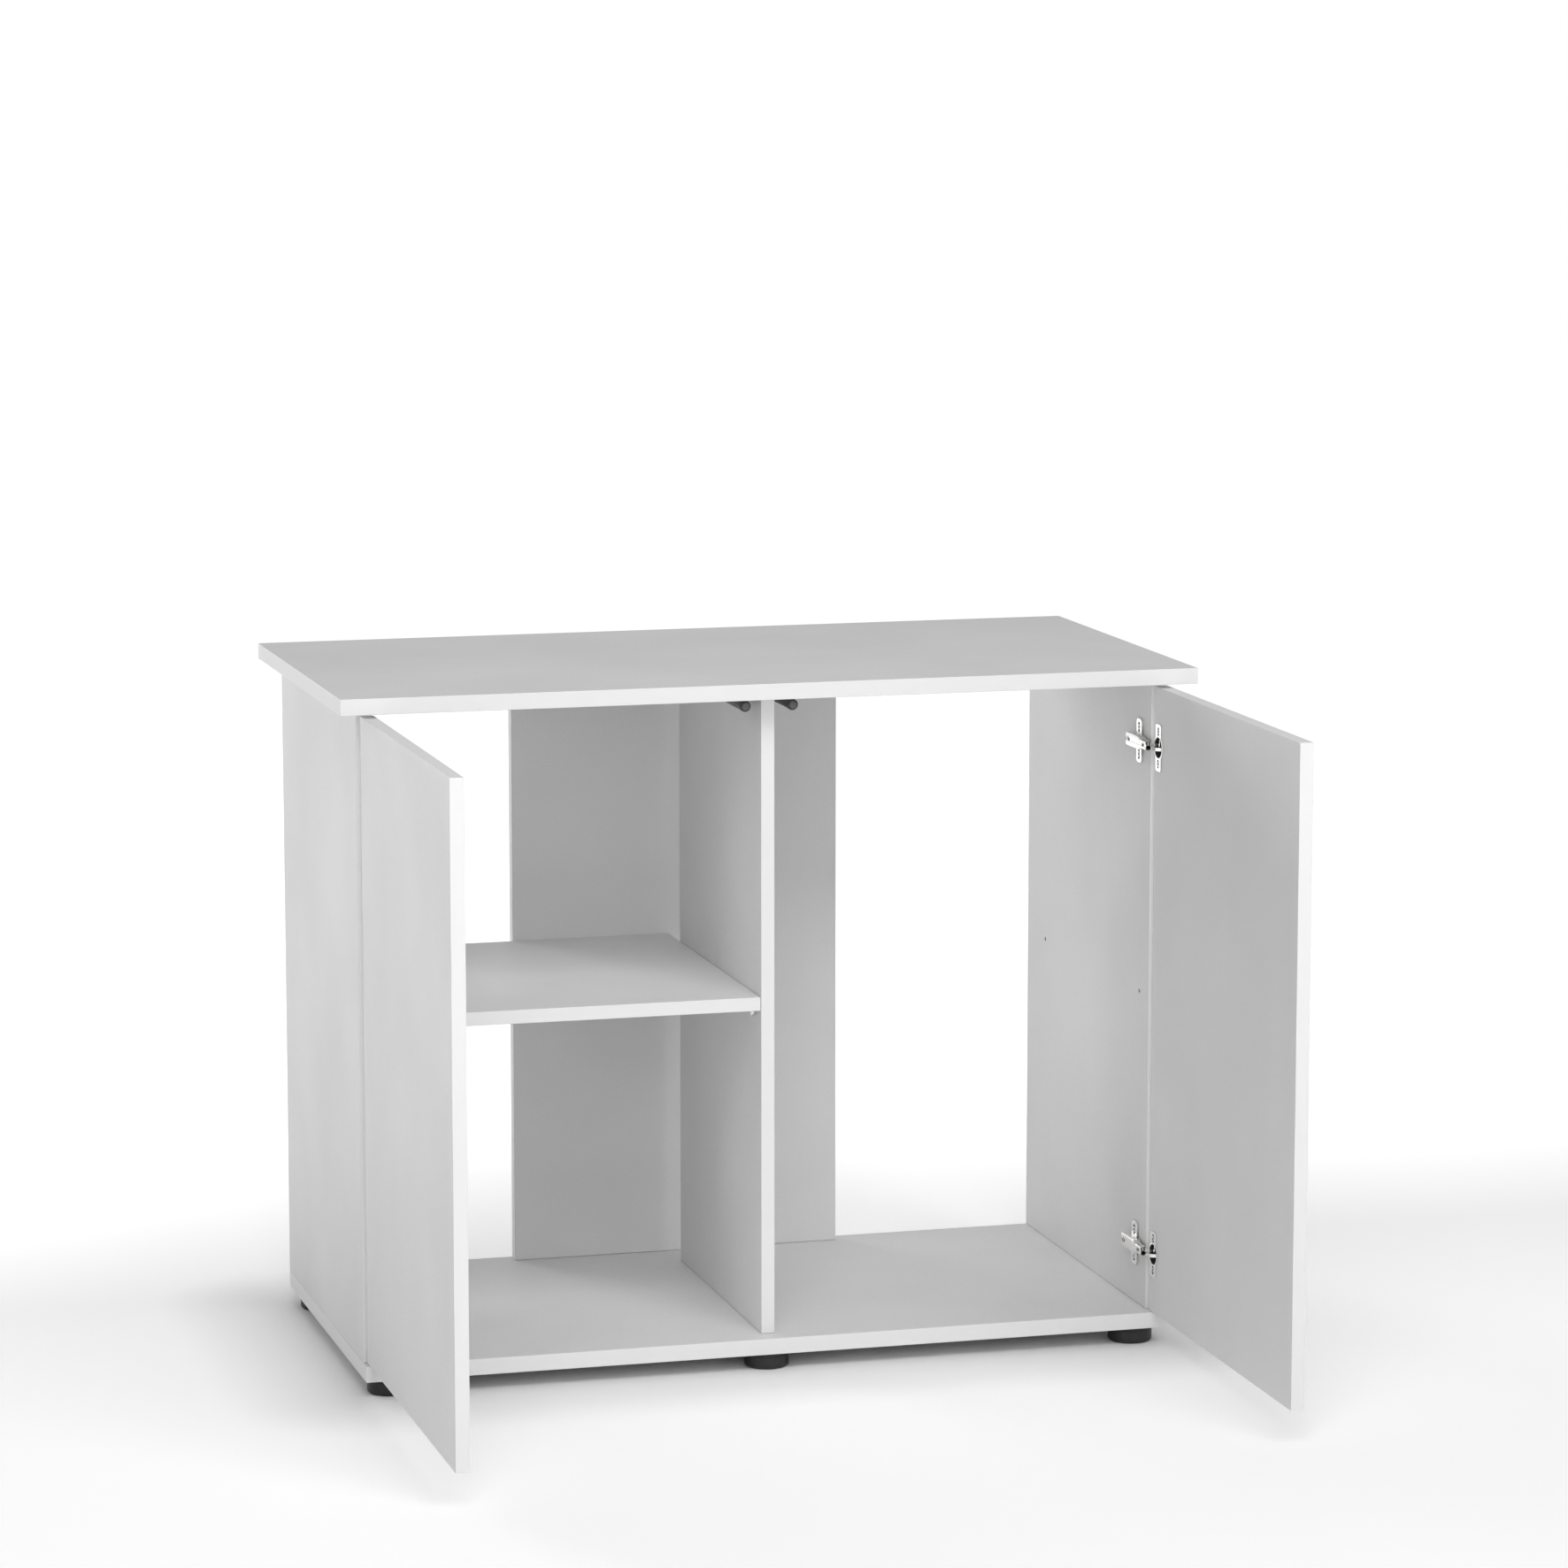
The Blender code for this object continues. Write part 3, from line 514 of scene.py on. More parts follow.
def axis_frame(origin, direction):
    """Matrix that lays a shape built along +Z from the origin along a direction."""
    turn = Vector(direction).to_track_quat("Z", "Y").to_matrix().to_4x4()
    return Matrix.Translation(origin) @ turn


def wall_frame(x, y, z):
    """Frame whose third axis is +X and whose first two are Y and Z."""
    return Matrix(((0, 0, 1, x), (1, 0, 0, y), (0, 1, 0, z), (0, 0, 0, 1)))


def face_outwards(bm):
    """Point every face of a closed bmesh outwards."""
    bmesh.ops.recalc_face_normals(bm, faces=bm.faces)
    if bm.calc_volume(signed=True) < 0:
        bmesh.ops.reverse_faces(bm, faces=bm.faces)


def solid(bm, placed=Matrix()):
    """Object of a closed bmesh, moved by a matrix; a piece or a tool to cut one with."""
    bm.transform(placed)
    face_outwards(bm)
    mesh = bpy.data.meshes.new("solid")
    bm.to_mesh(mesh)
    bm.free()
    mesh.materials.append(BARE)
    thing = bpy.data.objects.new("solid", mesh)
    bpy.context.collection.objects.link(thing)
    return thing


def turned(profile, placed=Matrix(), sides=ROUND_SIDES):
    """Solid of a profile of (radius, height) points turned about its axis."""
    bm = bmesh.new()
    points = [bm.verts.new((radius, 0.0, height)) for radius, height in profile]
    for first, second in zip(points, points[1:]):
        bm.edges.new((first, second))
    bmesh.ops.spin(bm, geom=bm.verts[:] + bm.edges[:], cent=(0, 0, 0), axis=(0, 0, 1),
                   angle=2 * pi, steps=sides)
    bmesh.ops.remove_doubles(bm, verts=bm.verts, dist=WELD)
    return solid(bm, placed)


def prism(outline, low, high, placed=Matrix()):
    """Solid of an outline of (u, v) points, extruded along the third axis."""
    bm = bmesh.new()
    base = bm.faces.new([bm.verts.new((u, v, low)) for u, v in outline])
    grown = bmesh.ops.extrude_face_region(bm, geom=[base])["geom"]
    raised = [item for item in grown if isinstance(item, bmesh.types.BMVert)]
    bmesh.ops.translate(bm, verts=raised, vec=(0, 0, high - low))
    return solid(bm, placed)


def block(low, high):
    outline = [(low[0], low[1]), (high[0], low[1]), (high[0], high[1]), (low[0], high[1])]
    return prism(outline, low[2], high[2])


def stadium(half_width, half_length):
    """Straight-sided outline with half-round ends along its second axis."""
    centre = half_length - half_width
    return (arc((0, centre), half_width, 0, pi, 2 * CORNER_STEPS)
            + arc((0, -centre), half_width, pi, 2 * pi, 2 * CORNER_STEPS))


def plate_end(half_width, half_length, corner):
    """The upper end of a long plate, from its right side to its left one."""
    u, v = half_width - corner, half_length - corner
    return (arc((u, v), corner, 0, pi / 2, CORNER_STEPS)
            + arc((-u, v), corner, pi / 2, pi, CORNER_STEPS))


def combine(target, tool, operation, dark=False):
    """Unite target with tool, or cut tool out of target, and remove tool.

    The faces that a dark cut leaves get painted shade, a near-black finish that stands for the shade in the cut.
    """
    tool.data.materials[0] = PAINTED_SHADE if dark else BARE
    change = target.modifiers.new("combine", "BOOLEAN")
    change.material_mode = "TRANSFER"
    change.operation = operation
    change.solver = "EXACT"
    change.object = tool
    bpy.context.view_layer.update()
    graph = bpy.context.evaluated_depsgraph_get()
    target.data = bpy.data.meshes.new_from_object(target.evaluated_get(graph))
    target.modifiers.clear()
    bpy.data.objects.remove(tool)


def soften(thing, width):
    """Round the sharp edges of a piece a little."""
    bevel = thing.modifiers.new("soft_edges", "BEVEL")
    bevel.width = width
    bevel.segments = 2
    bevel.limit_method = "ANGLE"
    bevel.angle_limit = SHARP_ANGLE
    bevel.harden_normals = True


def place_piece(thing, node, centre, side=RIGHT):
    """Let a piece stand for a CAD node, with its origin at centre.

    The mesh and the centre are in the right-hand side's coordinates, and are mirrored for
    the left.
    """
    centre = Vector(centre)
    bm = bmesh.new()
    bm.from_mesh(thing.data)
    bm.transform(Matrix.Diagonal((side, 1, 1, 1)) @ Matrix.Translation(-centre))
    face_outwards(bm)
    bm.to_mesh(thing.data)
    bm.free()
    thing.location = (side * centre.x, centre.y, centre.z)
    dress(thing, "fine_" + node, node, SLOTS[node])


def dress(thing, name, node, slot, stands_for=True):
    """Give a piece its name, material and body, and hide the node that it stands for."""
    thing.name = name
    thing.data.name = name
    finishes = list(thing.data.materials)
    # faces left by dark cuts keep the painted shade as their second material
    recessed = [finishes[face.material_index] == PAINTED_SHADE for face in thing.data.polygons]
    thing.data.materials.clear()
    thing.data.materials.append(MATERIALS[slot])
    if any(recessed):
        thing.data.materials.append(PAINTED_SHADE)
    thing.data.polygons.foreach_set("material_index", recessed)
    thing.data.shade_smooth()
    thing.data.set_sharp_from_angle(angle=SHARP_ANGLE)
    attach(thing, BODIES[node])
    if stands_for:
        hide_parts(node)


def side_box(node, side):
    """A node's box in the right-hand side's coordinates."""
    low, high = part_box(node)
    across = sorted((side * low.x, side * high.x))
    return Vector((across[0], low.y, low.z)), Vector((across[1], high.y, high.z))


# ---------------------------------------------------------------- screws

def cut_cross_recess(screw, head_r, dome, cone):
    """Cut the cross that a screwdriver fits, with a deeper cone in its middle, both with painted shade on their
    faces.
    """
    reach = head_r * RECESS_SHARE
    deep = cone * RECESS_DEPTH + dome
    arms_deep = deep - dome
    for along, across in ((reach, RECESS_HALF_W), (RECESS_HALF_W, reach)):
        combine(screw, block((-along, -across, -OVERCUT), (along, across, arms_deep)),
                "DIFFERENCE", dark=True)
    mouth_r, bottom_r = reach * HEART_R[0], reach * HEART_R[1]
    heart = [(0, -OVERCUT), (mouth_r, -OVERCUT), (bottom_r, arms_deep), (0, deep)]
    combine(screw, turned(heart, sides=HEART_SIDES), "DIFFERENCE", dark=True)


def screw_solid(sizes, threads=0):
    """Screw with a domed, cross-recessed head; its axis is +Z, into the board."""
    head_r, shank_r, dome, cone, length = sizes
    profile = [(head_r * sin(angle), -dome * cos(angle))
               for angle in (pi / 2 * i / DOME_STEPS for i in range(DOME_STEPS + 1))]
    profile.append((shank_r, cone))
    for i in range(threads):
        start = cone + (length - cone) * (i + 0.5) / threads
        pitch = (length - cone) / threads
        profile += [(shank_r, start), (shank_r + THREAD_RISE, start + pitch * THREAD_SHAPE[0]),
                    (shank_r, start + pitch * THREAD_SHAPE[1])]
    end = (shank_r * POINT_R, length + shank_r) if threads else (shank_r, length)
    screw = turned(profile + [end, (0.0, end[1])], sides=SCREW_SIDES)
    cut_cross_recess(screw, head_r, dome, cone)
    return screw


def put_screw(mesh, name, node, place, direction, turn, stands_for=True):
    """Screw that shares its mesh with others, its recess turned by an angle."""
    screw = bpy.data.objects.new(name, mesh)
    bpy.context.collection.objects.link(screw)
    screw.matrix_world = axis_frame(place, direction) @ Matrix.Rotation(turn, 4, "Z")
    dress(screw, name, node, "screw", stands_for)


def screw_mesh(sizes, threads=0):
    thing = screw_solid(sizes, threads)
    mesh = thing.data
    bpy.data.objects.remove(thing)
    return mesh


def hinge_screws():
    """Both kinds of countersunk screw, where the CAD has them."""
    meshes = {"cup": screw_mesh(CUP_SCREW, THREADS), "plate": screw_mesh(WING_SCREW, THREADS)}
    screws = product(meshes, SIDE_NAMES, LEVELS, ENDS)
    for count, (kind, side, level, end) in enumerate(screws, start=1):
        node = f"{kind}_screw_{SIDE_NAMES[side]}_{level}_{end}"
        low, high = side_box(node, side)
        place = (side * low.x, (low.y + high.y) / 2, (low.z + high.z) / 2)
        put_screw(meshes[kind], "fine_" + node, node, place, (side, 0, 0),
                  HINGE_SCREW_TURN * count)


# ---------------------------------------------------------------- hinges

def pivot(side, joint):
    """Where a hinge joint's axis runs: x and y, in the right-hand side's coordinates."""
    x, y = PIVOTS[f"{SIDE_NAMES[side]}_{joint}"][:2]
    return side * x, y


def flange_outline():
    """Long plate with a round middle, about the cup's centre."""
    meet = asin((FLANGE_ROUND_R ** 2 - FLANGE_HALF_W ** 2) ** 0.5 / FLANGE_ROUND_R)
    half = (arc((0, 0), FLANGE_ROUND_R, -meet, meet, 2 * CORNER_STEPS)
            + plate_end(FLANGE_HALF_W, FLANGE_HALF_L, FLANGE_CORNER_R))
    return half + [(-y, -z) for y, z in half]


def cut_screw_slots(thing, x, y, z, reach, half_length, depth):
    """Cut the upright recesses that the two screws of a plate sit in, with painted shade on their faces."""
    for direction in ENDS.values():
        placed = wall_frame(x, y, z + direction * reach)
        combine(thing, prism(stadium(SLOT_HALF_W, half_length), -OVERCUT, depth, placed),
                "DIFFERENCE", dark=True)


def add_cup_pins(cup, side, y, z):
    """Add the two pins that the links turn on, from the cup's middle height to its wall."""
    for joint, direction in (("door_on_links", 1), ("inner_link_turn", -1)):
        pin_x, pin_y = pivot(side, joint)
        reach = (CUP_INNER_R ** 2 - (pin_y - y) ** 2) ** 0.5 + CUP_LIP_R / 2
        pin = [(0, 0), (PIN_R * PIN_TIP_R, 0), (PIN_R, PIN_R * PIN_CHAMFER), (PIN_R, reach),
               (0, reach)]
        placed = axis_frame((pin_x, pin_y, z), (0, 0, direction))
        combine(cup, turned(pin, placed, PIN_SIDES), "UNION")


def hinge_cup(side, level):
    """Flange, deep-drawn cup with a rolled lip, and the pins in it."""
    node = f"hinge_cup_{SIDE_NAMES[side]}_{level}"
    low, high = side_box(node, side)
    x, y, z = low.x, (low.y + high.y) / 2, (low.z + high.z) / 2
    depth = high.x - low.x
    cup = prism(flange_outline(), 0.0, FLANGE_T, wall_frame(x, y, z))
    along = axis_frame((x, y, z), (1, 0, 0))
    corner = arc((CUP_R - CUP_CORNER_R, depth - CUP_CORNER_R), CUP_CORNER_R, 0, pi / 2,
                 CORNER_STEPS)
    outside = [(0, FLANGE_T / 2), (CUP_R, FLANGE_T / 2)] + corner + [(0, depth)]
    combine(cup, turned(outside, along), "UNION")
    lip = arc((CUP_INNER_R + CUP_LIP_R, CUP_LIP_SUNK), CUP_LIP_R, 0, 2 * pi,
              CUP_LIP_STEPS)
    combine(cup, turned(lip, along), "UNION")
    inner_corner = arc((CUP_INNER_R - CUP_INNER_CORNER_R, depth - CUP_FLOOR - CUP_INNER_CORNER_R),
                       CUP_INNER_CORNER_R, 0, pi / 2, CORNER_STEPS)
    hollow = ([(0, -OVERCUT), (CUP_INNER_R, -OVERCUT)] + inner_corner
              + [(0, depth - CUP_FLOOR)])
    # painted shade inside the cup's hollow
    combine(cup, turned(hollow, along), "DIFFERENCE", dark=True)
    add_cup_pins(cup, side, y, z)
    cut_screw_slots(cup, x, y, z, CUP_SCREW_Z, FLANGE_SLOT_HALF_L, FLANGE_SLOT_DEPTH)
    soften(cup, SHEET_SOFT)
    place_piece(cup, node, (x, y, z), side)


def arm_section(x_web, x_open, half):
    """Channel section as (x, height): rounded shoulders and a groove along the web."""
    def shell(reach, web, corner, groove):
        shoulder = arc((web + corner, reach - corner), corner, pi / 2, pi, 4)
        middle = [(web, ARM_GROOVE_HALF + ARM_GROOVE), (web + groove, ARM_GROOVE_HALF)]
        upper = [(x_open, reach)] + shoulder + middle
        return upper + [(x, -height) for x, height in upper[::-1]]
    outside = shell(half, x_web, ARM_CORNER, ARM_GROOVE)
    inside = shell(half - ARM_WALL, x_web + ARM_WALL, ARM_CORNER - ARM_WALL / 2, ARM_GROOVE)
    return outside + inside[::-1]


def arm_half(behind, back_half):
    """Half height of the arm at a distance behind its front end."""
    share = min(max((behind - ARM_FLARE[0]) / (ARM_FLARE[1] - ARM_FLARE[0]), 0.0), 1.0)
    return ARM_FRONT_HALF + (back_half - ARM_FRONT_HALF) * share * share * (3 - 2 * share)


def arm_channel(low, high, z):
    """The arm's pressed channel, which widens behind its front part and has painted shade inside."""
    steps = [0.0, ARM_FLARE[0]]
    steps += [ARM_FLARE[0] + (ARM_FLARE[1] - ARM_FLARE[0]) * i / ARM_FLARE_STEPS
              for i in range(1, ARM_FLARE_STEPS + 1)]
    steps.append(high.y - low.y)
    bm = bmesh.new()
    rings = []
    for behind in steps:
        section = arm_section(low.x, high.x, arm_half(behind, (high.z - low.z) / 2))
        rings.append([bm.verts.new((x, low.y + behind, z + height)) for x, height in section])
    for first, second in zip(rings, rings[1:]):
        for i in range(len(first)):
            j = (i + 1) % len(first)
            face = bm.faces.new((first[i], first[j], second[j], second[i]))
            # the faces inside the channel take the painted shade
            face.material_index = int(len(first) // 2 <= i < len(first) - 1)
    bm.faces.new(rings[0])
    bm.faces.new(rings[-1][::-1])
    arm = solid(bm)
    arm.data.materials.append(PAINTED_SHADE)
    return arm


def add_arm_pin(arm, side, z):
    """Add the pin that the outer link turns on, with its rivet's head on the arm's upper side."""
    pin_x, pin_y = pivot(side, "door_swing")
    top = ARM_FRONT_HALF - ARM_WALL / 2
    pin = [(0, 0), (PIN_R, 0), (PIN_R, top), (0, top)]
    combine(arm, turned(pin, axis_frame((pin_x, pin_y, z), (0, 0, 1)), PIN_SIDES), "UNION")
    rivet = [(0, 0), (PIN_R * RIVET_R[0], 0), (PIN_R * RIVET_R[1], RIVET_H[0]), (0, RIVET_H[1])]
    placed = axis_frame((pin_x, pin_y, z + ARM_FRONT_HALF - RIVET_SUNK), (0, 0, 1))
    combine(arm, turned(rivet, placed, PIN_SIDES), "UNION")


def cut_arm_openings(arm, low, high, z, notch_y, window_y):
    """Cut the notch at the arm's rear end, and the window near its front end, with painted shade on their walls.
    """
    notch = [(high.y + OVERCUT, ARM_NOTCH_HALF)]
    notch += arc((notch_y, 0), ARM_NOTCH_HALF, pi / 2, 3 * pi / 2, 2 * CORNER_STEPS)
    notch.append((high.y + OVERCUT, -ARM_NOTCH_HALF))
    window_half = (ARM_WINDOW[1] - ARM_WINDOW[0]) / 2
    window = [(v, u) for u, v in stadium(ARM_WINDOW_HALF, window_half)]
    for outline, y in ((notch, 0), (window, window_y)):
        cutter = prism(outline, -OVERCUT, OVERCUT, wall_frame(low.x, y, z))
        combine(arm, cutter, "DIFFERENCE", dark=True)


def hinge_arm(side, level, adjusters):
    """Pressed channel with a rear notch and a front window, and its adjusting screws."""
    name = SIDE_NAMES[side]
    node = f"hinge_arm_{name}_{level}"
    low, high = side_box(node, side)
    z = (low.z + high.z) / 2
    notch_y = high.y - ARM_NOTCH + ARM_NOTCH_HALF
    window_y = low.y + (ARM_WINDOW[0] + ARM_WINDOW[1]) / 2
    arm = arm_channel(low, high, z)
    add_arm_pin(arm, side, z)
    cut_arm_openings(arm, low, high, z, notch_y, window_y)
    soften(arm, SHEET_SOFT)
    place_piece(arm, node, (low.x, notch_y, z), side)
    for kind, y in (("rear", notch_y), ("front", window_y)):
        place = (side * (low.x - ADJUSTER_PROUD), y, z)
        put_screw(adjusters[kind], f"adjusting_screw_{kind}_{name}_{level}", node, place,
                  (side, 0, 0), ADJUSTER_SIDE_TURN * side + ADJUSTER_TURN[kind],
                  stands_for=False)


def hinge_plate(side, level):
    """Wings with slots for their screws, and the raised block that the arm sits over."""
    name = SIDE_NAMES[side]
    node = f"hinge_plate_{name}_{level}"
    low, high = side_box(node, side)
    screw_low, screw_high = side_box(f"plate_screw_{name}_{level}_top", side)
    y, z = (screw_low.y + screw_high.y) / 2, (low.z + high.z) / 2
    face = high.x - WING_T
    half = plate_end(WING_HALF_W, (high.z - low.z) / 2, WING_CORNER_R)
    plate = prism(half + [(-u, -v) for u, v in half], 0.0, WING_T, wall_frame(face, y, z))
    cut_screw_slots(plate, face, y, z, WING_SCREW_Z, SLOT_HALF_L, WING_SLOT_DEPTH)
    raised = block((low.x, low.y, z - BLOCK_HALF_H),
                   (high.x - BLOCK_SHORT, high.y, z + BLOCK_HALF_H))
    combine(plate, raised, "UNION")
    soften(plate, PLATE_SOFT)
    place_piece(plate, node, (face, y, z), side)


def strap_outline(path):
    """Outline of a bent strap along path, with a round eye at each end."""
    points = [Vector(point) for point in path]
    spread_angle = pi - asin(LINK_HALF_W / LINK_EYE_R)
    before, here, after = points
    coming = (here - before).normalized()
    along = (coming + (after - here).normalized()).normalized()
    normal = Vector((-along.y, along.x))
    reach = LINK_HALF_W / normal.dot(Vector((-coming.y, coming.x)))
    start_away = atan2(*(before - here).yx)
    end_away = atan2(*(after - here).yx)
    start_eye = arc(before, LINK_EYE_R, start_away - spread_angle, start_away + spread_angle,
                    EYE_STEPS)
    end_eye = arc(after, LINK_EYE_R, end_away - spread_angle, end_away + spread_angle, EYE_STEPS)
    return (start_eye + [tuple(here - normal * reach)] + end_eye
            + [tuple(here + normal * reach)])


def hinge_link(kind, side, level, path, holes):
    """Bent strap with a hole for each pin; the outer link lies above the inner one."""
    node = f"hinge_{kind}_link_{SIDE_NAMES[side]}_{level}"
    low, high = side_box(node, side)
    below, above = (0.0, LINK_EXTRA) if kind == "outer" else (LINK_EXTRA, 0.0)
    strap = prism(strap_outline(path), low.z - below, high.z + above)
    for x, y in holes:
        hole = [(0, -OVERCUT), (LINK_HOLE_R, -OVERCUT), (LINK_HOLE_R, OVERCUT * 3),
                (0, OVERCUT * 3)]
        placed = Matrix.Translation((x, y, low.z - below))
        combine(strap, turned(hole, placed, PIN_SIDES), "DIFFERENCE")
    soften(strap, LINK_SOFT)
    place_piece(strap, node, (*path[1], (low.z + high.z) / 2), side)


def hinges():
    adjusters = {"rear": screw_mesh(REAR_ADJUSTER), "front": screw_mesh(FRONT_ADJUSTER)}
    for side in SIDE_NAMES:
        arm_pin, cup_pin, inner_pin = (
            Vector(pivot(side, joint))
            for joint in ("door_swing", "door_on_links", "inner_link_turn"))
        outer_path = (arm_pin, arm_pin + Vector(OUTER_BEND), cup_pin)
        inner_path = (inner_pin, inner_pin + Vector(INNER_BEND), inner_pin + Vector(INNER_END))
        for level in LEVELS:
            hinge_cup(side, level)
            hinge_plate(side, level)
            hinge_arm(side, level, adjusters)
            hinge_link("outer", side, level, outer_path, (arm_pin, cup_pin))
            hinge_link("inner", side, level, inner_path, (inner_pin,))


# ---------------------------------------------------------------- latches

def latch_housing(side, tab_screw):
    """Tube with a front collar and an end cap, hung by a saddle from a screwed tab."""
    node = f"latch_housing_{SIDE_NAMES[side]}"
    low, high = side_box(node, side)
    x, front, top = (low.x + high.x) / 2, low.y, high.z
    axis_z = top - LATCH_DROP
    length = high.y - low.y
    housing = turned(latch_profile(length), axis_frame((x, front, axis_z), (0, 1, 0)))
    start, end = front + SADDLE[0], front + SADDLE[1]
    saddle = block((x - SADDLE_HALF_W, start, axis_z + LATCH_BORE_R + SADDLE_OFF_BORE),
                   (x + SADDLE_HALF_W, end, top - TAB_T / 2))
    tab = block((x - TAB_HALF_W, start - TAB_LIP, top - TAB_T),
                (x + TAB_HALF_W, end + TAB_LIP, top))
    combine(saddle, tab, "UNION")
    combine(housing, saddle, "UNION")
    soften(housing, HOUSING_SOFT)
    place_piece(housing, node, (x, front, axis_z), side)
    for end_name, y in (("front", start + TAB_SCREW_Y), ("back", end - TAB_SCREW_Y)):
        for hand, hand_name in SIDE_NAMES.items():
            place = (side * x + hand * TAB_SCREW_X, y, top - TAB_T + TAB_SCREW_SUNK)
            put_screw(tab_screw, f"{SIDE_NAMES[side]}_latch_screw_{end_name}_{hand_name}", node,
                      place, (0, 0, 1), y * TAB_SCREW_TURN + hand, stands_for=False)


def latch_profile(length):
    """Half section of the latch's tube: bore, rounded mouth, collar and closed tail."""
    mouth = arc((LATCH_R - LATCH_MOUTH_R, LATCH_MOUTH_R), LATCH_MOUTH_R, -pi / 2, 0,
                SMALL_CORNER_STEPS)
    tail = arc((LATCH_BODY_R - LATCH_TAIL_R, length - LATCH_TAIL_R), LATCH_TAIL_R, 0, pi / 2,
               CORNER_STEPS)
    collar = [(LATCH_R, LATCH_COLLAR_L), (LATCH_BODY_R, LATCH_COLLAR_L + COLLAR_STEP)]
    return ([(0, LATCH_BORE_L), (LATCH_BORE_R, LATCH_BORE_L), (LATCH_BORE_R, 0.0)]
            + mouth + collar + tail + [(0, length)])


def latch_plunger(side):
    """Sprung pin with a soft, slightly domed front and a groove behind it."""
    node = f"latch_plunger_{SIDE_NAMES[side]}"
    low, high = side_box(node, side)
    x, z, radius = (low.x + high.x) / 2, (low.z + high.z) / 2, (high.x - low.x) / 2
    length = high.y - low.y
    dome = [(radius * PLUNGER_FACE * share, PLUNGER_DOME * share * share)
            for share in (0, 0.35, 0.7, 1.0)]
    rim = arc((radius - PLUNGER_RIM_R, PLUNGER_RIM_Y), PLUNGER_RIM_R, -pi / 3, 0,
              SMALL_CORNER_STEPS)
    floor_r = radius - PLUNGER_GROOVE
    groove = list(zip((radius, floor_r, floor_r, radius), PLUNGER_GROOVE_Y))
    plunger = turned(dome + rim + groove + [(radius, length), (0, length)],
                     axis_frame((x, low.y, z), (0, 1, 0)))
    place_piece(plunger, node, (x, low.y, z), side)


# ---------------------------------------------------------------- feet and shelf pins

def foot_profile(radius, height):
    """Half section of a foot with a rounded rim, a parting groove and a screw well."""
    rim = arc((radius - FOOT_ROUND, FOOT_ROUND), FOOT_ROUND, -pi / 2, 0, FOOT_RIM_STEPS)
    groove = [(radius, FOOT_GROOVE_Z - FOOT_GROOVE), (radius - FOOT_GROOVE, FOOT_GROOVE_Z),
              (radius, FOOT_GROOVE_Z + FOOT_GROOVE)]
    top = arc((radius - FOOT_TOP_R, height - FOOT_TOP_R), FOOT_TOP_R, 0, pi / 2,
              FOOT_TOP_STEPS)
    well = [(0, FOOT_WELL_H), (FOOT_WELL_R - FOOT_WELL_TAPER, FOOT_WELL_H),
            (FOOT_WELL_R, FOOT_WELL_LIP), (FOOT_WELL_R + FOOT_WELL_LIP, 0)]
    return well + rim + groove + top + [(0, height)]


def feet(well_screw):
    """Six feet, each with the screw that holds it."""
    for row, column in product(("front", "back"), ("left", "middle", "right")):
        node = f"foot_{row}_{column}"
        low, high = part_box(node)
        x, y = (low.x + high.x) / 2, (low.y + high.y) / 2
        foot = turned(foot_profile((high.x - low.x) / 2, high.z - low.z),
                      Matrix.Translation((x, y, low.z)), FOOT_SIDES)
        place_piece(foot, node, (x, y, low.z))
        put_screw(well_screw, f"foot_screw_{row}_{column}", node,
                  (x, y, low.z + FOOT_WELL_H - FOOT_SCREW_PROUD), (0, 0, 1),
                  x * FOOT_SCREW_TURN[0] + y * FOOT_SCREW_TURN[1], stands_for=False)


def shelf_pin_profile(collar_r, length):
    """Half section of a shelf pin: rounded collar, neck and stem, from the board's face."""
    stem = length - SHELF_PIN_COLLAR_L
    collar = arc((collar_r - SHELF_PIN_ROUND, -SHELF_PIN_COLLAR_L + SHELF_PIN_ROUND),
                 SHELF_PIN_ROUND, -pi / 2, 0, SMALL_CORNER_STEPS)
    neck = [(collar_r, -SHELF_PIN_CONE[0]), (SHELF_PIN_NECK_R, -SHELF_PIN_CONE[1]),
            (SHELF_PIN_NECK_R, 0)]
    tip = [(SHELF_PIN_STEM_R, 0), (SHELF_PIN_STEM_R, stem - SHELF_PIN_TIP),
           (SHELF_PIN_STEM_R - SHELF_PIN_TIP, stem), (0, stem)]
    return [(0, -SHELF_PIN_COLLAR_L)] + collar + neck + tip


def shelf_pins():
    """Four pins, with their stems in the side panel or in the centre divider."""
    for (place, direction), end in product((("outer", -1), ("inner", 1)), ("front", "back")):
        node = f"shelf_pin_{place}_{end}"
        low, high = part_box(node)
        y, z, collar_r = (low.y + high.y) / 2, (low.z + high.z) / 2, (high.z - low.z) / 2
        collar_end = high.x if direction < 0 else low.x
        face = collar_end + direction * SHELF_PIN_COLLAR_L
        pin = turned(shelf_pin_profile(collar_r, high.x - low.x),
                     axis_frame((face, y, z), (direction, 0, 0)))
        place_piece(pin, node, (face, y, z))


# ---------------------------------------------------------------- camera, floor and light

def make_camera():
    data = bpy.data.cameras.new("camera")
    data.sensor_width = SENSOR
    data.lens = CAMERA_LENS
    data.clip_end = 2 * FLOOR_SIZE
    camera = bpy.data.objects.new("camera", data)
    camera.location = CAMERA_PLACE
    camera.rotation_euler = (radians(90 - CAMERA_DOWN), 0, -radians(CAMERA_TURN))
    bpy.context.collection.objects.link(camera)
    bpy.context.scene.camera = camera


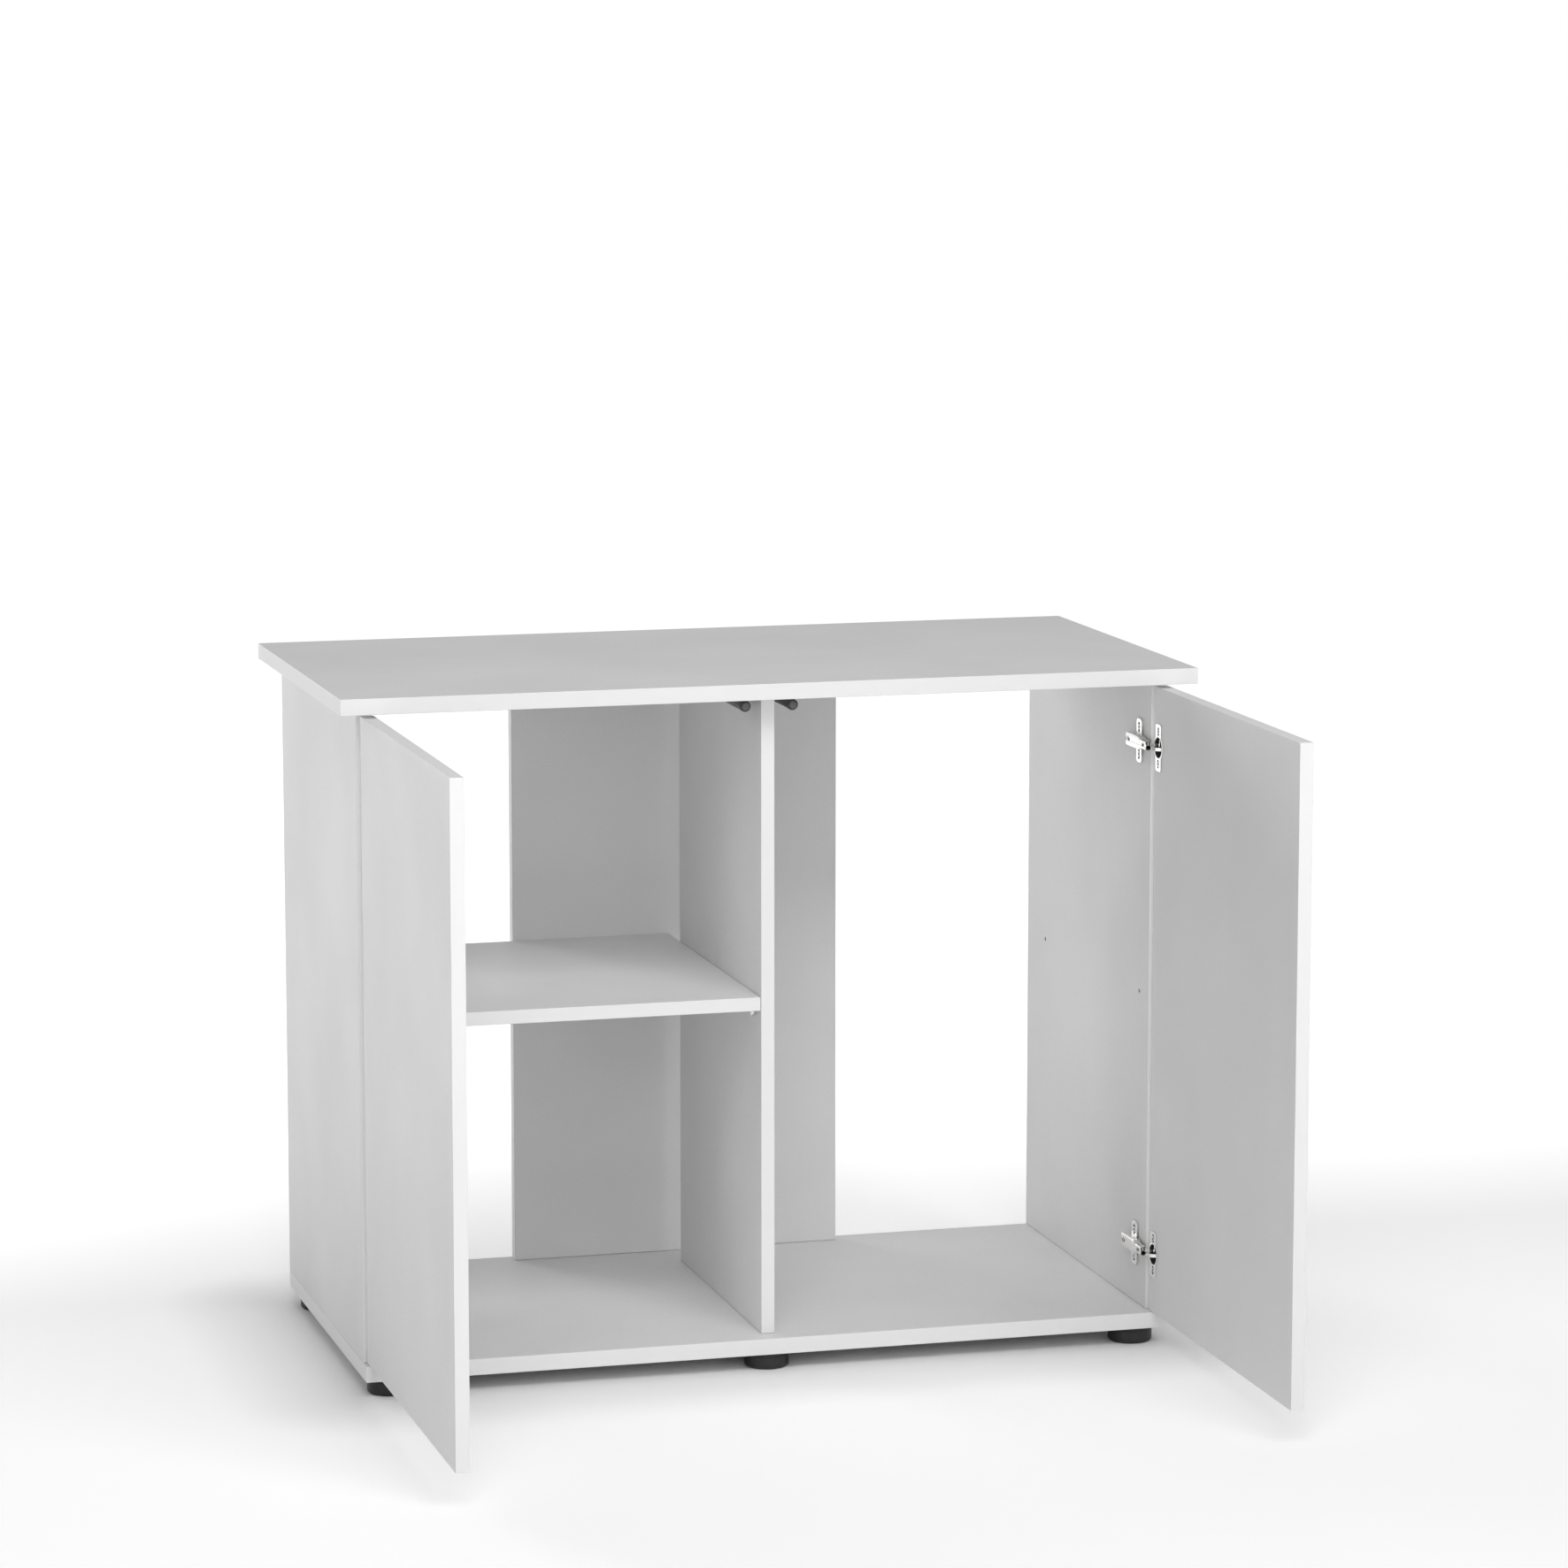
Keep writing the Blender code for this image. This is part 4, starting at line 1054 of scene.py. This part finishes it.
def floor_glow(tree):
    """Strength of the floor's painted glow, by the distance from the bottom panel and behind it; none under the
    cabinet, which paints its shade there.
    """
    low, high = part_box("bottom_panel")
    middle, half = (low + high) / 2, (high - low) / 2
    offset = vector_calc(tree, "SUBTRACT", coordinates(tree)["Object"], (middle.x, middle.y, 0))
    beyond = vector_calc(tree, "SUBTRACT", vector_calc(tree, "ABSOLUTE", offset),
                         (half.x, half.y, 0))
    outside = vector_calc(tree, "MAXIMUM", beyond, (0, 0, 0))
    distance = vector_calc(tree, "LENGTH", outside)
    near = spread(tree, distance, *FLOOR_NEAR, 0.0, FLOOR_GLOW_NEAR)
    far = spread(tree, distance, *FLOOR_FAR, 0.0, FLOOR_GLOW_FAR)
    behind = calc(tree, "SUBTRACT", split(tree, offset)[1], half.y)
    back = spread(tree, behind, *FLOOR_BACK, 0.0, FLOOR_GLOW_FAR)
    return calc(tree, "ADD", near, calc(tree, "MAXIMUM", far, back))


def make_floor():
    """Pale floor with painted light: it glows a little more away from the cabinet, and not at all under it, which
    paints the cabinet's shade on the floor.
    """
    bm = bmesh.new()
    bmesh.ops.create_grid(bm, x_segments=4, y_segments=4, size=FLOOR_SIZE)
    mesh = bpy.data.meshes.new("floor")
    bm.to_mesh(mesh)
    bm.free()
    floor = bpy.data.objects.new("floor", mesh)
    bpy.context.collection.objects.link(floor)
    material, tree, shader = new_material("floor_paper")
    shader.inputs["Base Color"].default_value = (FLOOR_TONE, FLOOR_TONE, FLOOR_TONE, 1)
    shader.inputs["Roughness"].default_value = FLOOR_ROUGH
    shader.inputs["Specular IOR Level"].default_value = FLOOR_SPECULAR
    # painted light: the floor glows, with no glow under the cabinet
    shader.inputs["Emission Color"].default_value = (1, 1, 1, 1)
    tree.links.new(floor_glow(tree), shader.inputs["Emission Strength"])
    mesh.materials.append(material)


def area_light(name, place, size, power):
    data = bpy.data.lights.new(name, "AREA")
    data.shape = "RECTANGLE"
    data.size, data.size_y = size
    data.energy = power
    light = bpy.data.objects.new(name, data)
    light.location = place
    light.rotation_euler = (Vector(AIM) - Vector(place)).to_track_quat("-Z", "Y").to_euler()
    light.visible_camera = False
    bpy.context.collection.objects.link(light)


def make_world():
    """Soft surroundings, with a strength of its own for each direction."""
    world = bpy.data.worlds.new("studio")
    bpy.context.scene.world = world
    world.use_nodes = True
    tree = world.node_tree
    direction = coordinates(tree)["Generated"]
    strength = 0.0
    lobes = (((0, -1, 0), SKY_FRONT), ((0, 1, 0), SKY_BACK), ((0, 0, 1), SKY_TOP),
             ((1, 0, 0), SKY_RIGHT))
    for axis, share in lobes:
        towards = calc(tree, "MAXIMUM", vector_calc(tree, "DOT_PRODUCT", direction, axis), 0.0)
        lobe = calc(tree, "MULTIPLY", towards, towards)
        strength = calc(tree, "MULTIPLY_ADD", lobe, share, strength)
    soft = tree.nodes["Background"]
    soft.inputs["Color"].default_value = (1, 1, 1, 1)
    tree.links.new(strength, soft.inputs["Strength"])


def make_light():
    bpy.context.scene.view_settings.view_transform = "Standard"
    make_world()
    for name, (place, size, power) in LAMPS.items():
        area_light(name, place, size, power)


# ---------------------------------------------------------------- making

def boards():
    """Give every board node of the CAD its own melamine."""
    for node, slot in SLOTS.items():
        if slot == "board":
            thing = frame["nodes"][node]
            thing.data.materials.clear()
            thing.data.materials.append(board_material(node))


make_camera()
make_floor()
make_light()
boards()
hinge_screws()
hinges()
small_screw = screw_mesh(SMALL_SCREW)
for cabinet_side in SIDE_NAMES:
    latch_housing(cabinet_side, small_screw)
    latch_plunger(cabinet_side)
feet(small_screw)
shelf_pins()
